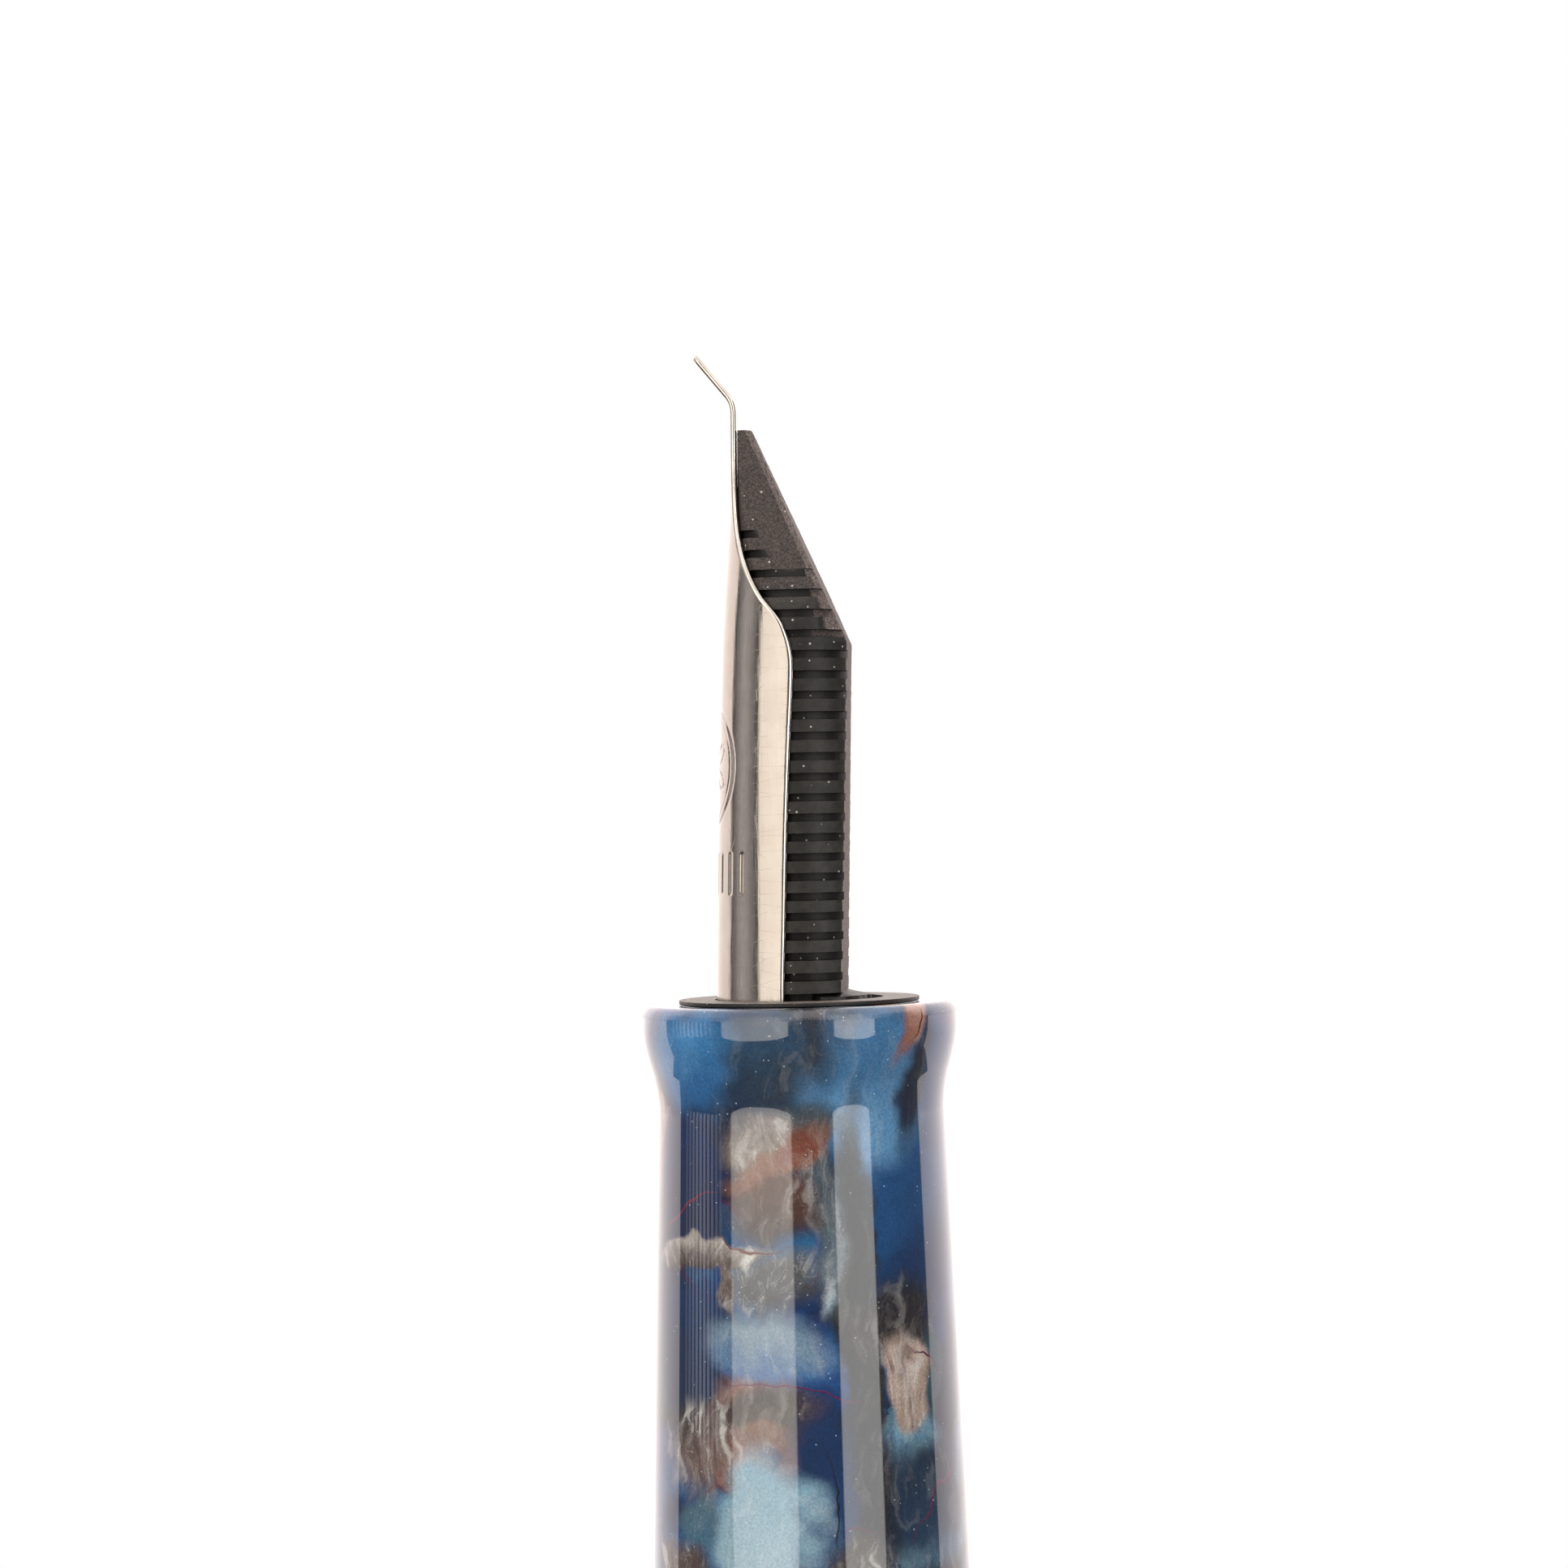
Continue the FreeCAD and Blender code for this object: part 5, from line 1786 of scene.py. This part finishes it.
BAND_MIDDLE = (BAND_FOOT + BAND_TOP) / 2
BAND_LINE_R = BAND_R - 0.16


def milled(angle, r, z):
    """Fine milling round the middle of the band."""
    if abs(z - BAND_MIDDLE) > 0.62 or r < BAND_GROOVE_R + 0.1:
        return r
    return r - 0.07 - 0.06 * math.cos(angle * 96)


band = turned(
    "cap_steel_band",
    "cap",
    rounded(
        [(BAND_GROOVE_R, BAND_FOOT), (BAND_R, BAND_FOOT), (BAND_R, BAND_MIDDLE - 0.9)]
        + [(BAND_LINE_R, BAND_MIDDLE - 0.82), (BAND_LINE_R, BAND_MIDDLE - 0.68)]
        + [(BAND_R, BAND_MIDDLE - 0.6), (BAND_R, BAND_MIDDLE + 0.6)]
        + [(BAND_LINE_R, BAND_MIDDLE + 0.68), (BAND_LINE_R, BAND_MIDDLE + 0.82)]
        + [(BAND_R, BAND_MIDDLE + 0.9), (BAND_R, BAND_TOP), (BAND_GROOVE_R, BAND_TOP)],
        0.05,
    ),
    around=768,
    shape=milled,
)
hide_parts("cap_band")

CAP_END_TOP = high("cap_finial")
cap_end = turned(
    "cap_resin_end",
    "cap",
    [(0, 0), (5.2, 0)]
    + arc((5.2, 0), (6.07, 0.46), (6.4, 1.6))
    + arc((6.4, 1.6), (6.55, 3.3), (6.62, CAP_END_TOP - 0.08))
    + [(6.54, CAP_END_TOP), (2.0, CAP_END_TOP), (2.0, CAP_END_TOP - 3.2), (0, CAP_END_TOP - 3.2)],
)
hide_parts("cap_finial")

paint(shell, body_resin)
paint(cap_end, body_resin)
paint(band, polished_steel)
paint(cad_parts["cap_liner"], black_plastic)
paint(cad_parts["finial_screw"], turned_brass)

# ---- Clip and clip ring ----------------------------------------------------------------------------
# A washer clamped between the cap's end and its shell carries a lug. The clip is a strap of spring steel
# on that lug; it bows out, comes back to the cap near its end, and turns up in a tongue.

paint(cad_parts["clip_ring"], polished_steel)
PIVOT_X, PIVOT_Z = -7.6, CAP_END_TOP + 0.5
SHOULDER_Z = SHELL_FOOT + 3.5
TOUCH_Z = 48.0
BOW_X = -9.35
TOUCH_X = -cap_radius(TOUCH_Z) - 0.2
CLIP_THICK = 0.8

inner_side = (
    [(PIVOT_X - 0.2, PIVOT_Z + 0.45)]
    + arc((PIVOT_X - 0.2, PIVOT_Z + 0.45), (BOW_X + 0.55, PIVOT_Z + 1.6), (BOW_X, SHOULDER_Z), 10)
    + [(BOW_X + 0.25 * t, SHOULDER_Z + (TOUCH_Z - 8 - SHOULDER_Z) * t) for t in (0.25, 0.5, 0.75, 1.0)]
    + arc((BOW_X + 0.25, TOUCH_Z - 8), (TOUCH_X - 0.35, TOUCH_Z - 3.2), (TOUCH_X, TOUCH_Z), 12)
    + arc((TOUCH_X, TOUCH_Z), (TOUCH_X - 0.2, TOUCH_Z + 1.7), (TOUCH_X - 0.9, TOUCH_Z + 3.0), 8)
)


def make_clip():
    """The strap: a rounded, slightly crowned section drawn along the side's curve, narrower to its end."""
    points, faces = [], []
    count = len(inner_side)
    loop = 20
    for k, (x, z) in enumerate(inner_side):
        ahead = Vector(inner_side[min(k + 1, count - 1)]) - Vector(inner_side[max(k - 1, 0)])
        out = Vector((-ahead.y, ahead.x)).normalized()
        width = 1.95 - 0.6 * max(0.0, (z - SHOULDER_Z) / (TOUCH_Z + 3 - SHOULDER_Z))
        closing = min(1.0, math.sqrt(max(0.05, 1 - (max(0.0, z - TOUCH_Z - 1.5) / 1.55) ** 2)))
        thick = CLIP_THICK * (0.75 + 0.25 * closing)
        for i in range(loop):
            a = math.tau * i / loop
            y = math.copysign(abs(math.cos(a)) ** 0.45, math.cos(a)) * width * closing
            t = (0.5 + 0.5 * math.copysign(abs(math.sin(a)) ** 0.6, math.sin(a))) * thick
            t *= 1 - 0.12 * (y / width) ** 2
            points.append((x + out.x * t, y, z + out.y * t))
    for k in range(count - 1):
        for i in range(loop):
            j = (i + 1) % loop
            faces.append((k * loop + i, k * loop + j, (k + 1) * loop + j, (k + 1) * loop + i))
    faces.append(tuple(range(loop))[::-1])
    faces.append(tuple((count - 1) * loop + i for i in range(loop)))
    # The knuckle that the clip turns on, a pin rolled into its root.
    start = len(points)
    around = 24
    for y, r in ((-1.9, 0.4), (-1.8, 0.49), (1.8, 0.49), (1.9, 0.4)):
        for i in range(around):
            a = math.tau * i / around
            points.append((PIVOT_X + r * math.cos(a), y, PIVOT_Z + r * math.sin(a)))
    for k in range(3):
        for i in range(around):
            j = (i + 1) % around
            ring_a, ring_b = start + k * around, start + (k + 1) * around
            faces.append((ring_a + i, ring_a + j, ring_b + j, ring_b + i))
    faces.append(tuple(start + i for i in range(around))[::-1])
    faces.append(tuple(start + 3 * around + i for i in range(around)))
    return piece("spring_steel_clip", "clip", points, faces, crease=40)


clip = make_clip()
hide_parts("clip")
paint(clip, polished_steel)

# ---- Stage, lights and camera ----------------------------------------------------------------------
# Two soft panels in front, two behind, a broad one above and a louvred one at the left, all unseen by
# the camera, over a pale table top and against plain white. The camera is a short telephoto, about level
# with the nib.

EYE = LIP + 6.3
AIM = LIP + 8.24
VIEW_TURN = math.radians(FRONT_TURN)
TO_CAMERA = Vector((math.sin(VIEW_TURN), -math.cos(VIEW_TURN), 0))
TO_RIGHT = Vector((math.cos(VIEW_TURN), math.sin(VIEW_TURN), 0))


def glow(name, colour, strength, foot, side, corner):
    """Light from a panel's face. Foot and side are how bright its low end and its +X side are. Corner is
    how large its lower corners' rounding is, as a share of its height."""
    material = bpy.data.materials.new(name)
    material.use_nodes = True
    tree = material.node_tree
    tree.nodes.clear()
    spot = add(tree, "SeparateXYZ", {0: add(tree, "TexCoord").outputs["Generated"]}).outputs
    upward = add(
        tree,
        "MapRange",
        {"Value": spot[2], "From Min": 0.12, "From Max": 0.32, "To Min": foot, "To Max": 1.0},
        interpolation_type="SMOOTHSTEP",
    ).outputs[0]
    across = add(
        tree,
        "MapRange",
        {"Value": spot[0], "From Min": 0.0, "From Max": 1.0, "To Min": 1.0, "To Max": side},
        interpolation_type="SMOOTHSTEP",
    ).outputs[0]
    power = add(
        tree,
        "Math",
        {0: add(tree, "Math", {0: upward, 1: across}, operation="MULTIPLY").outputs[0], 1: strength},
        operation="MULTIPLY",
    ).outputs[0]
    if corner:
        off_middle = add(
            tree,
            "Math",
            {0: add(tree, "Math", {0: spot[0], 1: 0.5}, operation="SUBTRACT").outputs[0]},
            operation="ABSOLUTE",
        ).outputs[0]
        sideways = add(
            tree,
            "MapRange",
            {"Value": off_middle, "From Min": 0.1, "From Max": 0.5},
            interpolation_type="SMOOTHSTEP",
        ).outputs[0]
        downward = add(
            tree,
            "MapRange",
            {"Value": spot[2], "From Min": corner, "From Max": 0.0},
            interpolation_type="SMOOTHSTEP",
        ).outputs[0]
        square = add(
            tree,
            "Math",
            {
                0: sideways,
                1: sideways,
                2: add(tree, "Math", {0: downward, 1: downward}, operation="MULTIPLY").outputs[0],
            },
            operation="MULTIPLY_ADD",
        ).outputs[0]
        power = add(
            tree,
            "Math",
            {
                0: power,
                1: add(
                    tree,
                    "MapRange",
                    {"Value": square, "From Min": 1.0, "From Max": 0.9},
                    interpolation_type="SMOOTHSTEP",
                ).outputs[0],
            },
            operation="MULTIPLY",
        ).outputs[0]
    light = add(tree, "Emission", {"Color": linear(colour), "Strength": power})
    out = add(tree, "OutputMaterial")
    tree.links.new(light.outputs[0], out.inputs["Surface"])
    return material


def panel(name, start, end, bottom, top, away, colour, strength, foot=1.0, side=1.0, corner=0.0):
    """An upright light panel between two bearings, from a low to a high elevation, all in degrees seen from
    the lip, with bearings counted from the camera."""
    middle, half = math.radians((start + end) / 2), math.radians((end - start) / 2)
    facing = TO_CAMERA * math.cos(middle) + TO_RIGHT * math.sin(middle)
    side_way = Vector((-facing.y, facing.x, 0)) * away * math.tan(half)
    centre = facing * away
    z_low, z_high = LIP + away * math.tan(math.radians(bottom)), LIP + away * math.tan(math.radians(top))
    mesh = bpy.data.meshes.new(name)
    corners = [centre - side_way, centre + side_way, centre + side_way, centre - side_way]
    heights = [z_low, z_low, z_high, z_high]
    mesh.from_pydata([(c.x * MM, c.y * MM, h * MM) for c, h in zip(corners, heights)], [], [(0, 1, 2, 3)])
    made = bpy.data.objects.new(name, mesh)
    bpy.context.scene.collection.objects.link(made)
    paint(made, glow(name, colour, strength, foot, side, corner))
    made.visible_camera = False
    made.visible_shadow = False
    return made


panel("soft_panel_left", -60, -7, -15, 42, 380, "#fffaf2", 2.0, side=1.15, corner=0.08)
panel("soft_panel_right", 23, 56, -15, 42, 380, "#fffdfa", 2.6, corner=0.08)
panel("soft_panel_back", 106, 180, -22, 50, 420, "#fff4f1", 1.75, foot=0.72)
panel("soft_panel_back_left", -180, -113, -22, 50, 420, "#fff4f1", 1.75, foot=0.72)
louvres = (0.5, 0.7, 0.95, 1.2, 1.35, 1.35, 1.25, 1.05, 0.8, 0.6)
for index, strength in enumerate(louvres):
    bearing = -105 + 4 * index
    panel(f"louvre_{index}", bearing, bearing + 2.2, -9, 42, 380, "#f6f2f6", strength)

# The panel above is made upright like the others, brought to the axis, tipped level and lifted.
above = panel("soft_panel_above", -60, 60, -60, 60, 400, "#fffaf6", 1.35)
tipped = Matrix.Rotation(math.radians(90), 4, "X")
above.matrix_world = Matrix.Translation((0, 0, 0.56)) @ tipped @ Matrix.Translation((0, 0.4, -LIP * MM))

# A round pale table top. It sends no light back to the pen, so the polished pieces show only the panels.
TABLE_R = 420.0 * MM
rim = [math.tau * i / 96 for i in range(96)]
rim_points = [(TABLE_R * math.cos(a), TABLE_R * math.sin(a), 0) for a in rim]
floor_mesh = bpy.data.meshes.new("pale_floor")
floor_mesh.from_pydata(rim_points, [], [tuple(range(len(rim)))])
floor = bpy.data.objects.new("pale_floor", floor_mesh)
bpy.context.scene.collection.objects.link(floor)
laminate, _, laminate_shader, _ = new_material("matt white laminate")
laminate_shader.inputs["Base Color"].default_value = linear("#f3f1ef")
laminate_shader.inputs["Roughness"].default_value = 0.8
paint(floor, laminate)
floor.visible_glossy = False
floor.visible_diffuse = False

world = bpy.data.worlds.new("studio")
bpy.context.scene.world = world
world.use_nodes = True
sky = world.node_tree
sky.nodes.clear()
ray = add(sky, "LightPath").outputs["Is Camera Ray"]
seen = add(sky, "Background", {"Color": (1, 1, 1, 1), "Strength": 1.0})
room = add(sky, "Background", {"Color": linear("#fdfbfa"), "Strength": 0.16})
both = add(sky, "MixShader", {0: ray, 1: room.outputs[0], 2: seen.outputs[0]})
sky_out = add(sky, "OutputWorld")
sky.links.new(both.outputs[0], sky_out.inputs["Surface"])
bpy.context.scene.view_settings.view_transform = "Standard"

CAMERA_AWAY = 136.0
FRAME_WIDTH = 58.55  # width of the picture at the pen, in millimetres
AIM_LEFT = 0.39
ROLL = math.radians(1.27)
camera_data = bpy.data.cameras.new("camera")
camera_data.sensor_width = 36.0
camera_data.lens = 36.0 * CAMERA_AWAY / FRAME_WIDTH
camera_data.clip_start = 0.005
camera = bpy.data.objects.new("camera", camera_data)
bpy.context.scene.collection.objects.link(camera)
stand = TO_CAMERA * CAMERA_AWAY - TO_RIGHT * AIM_LEFT + Vector((0, 0, EYE))
back = (TO_CAMERA * CAMERA_AWAY + Vector((0, 0, EYE - AIM))).normalized()
level = Vector((0, 0, 1)).cross(back).normalized()
up = back.cross(level) * math.cos(ROLL) + level * math.sin(ROLL)
right = up.cross(back)
axes = Matrix((right, up, back)).transposed().to_4x4()
camera.matrix_world = Matrix.Translation(stand * MM) @ axes
bpy.context.scene.camera = camera
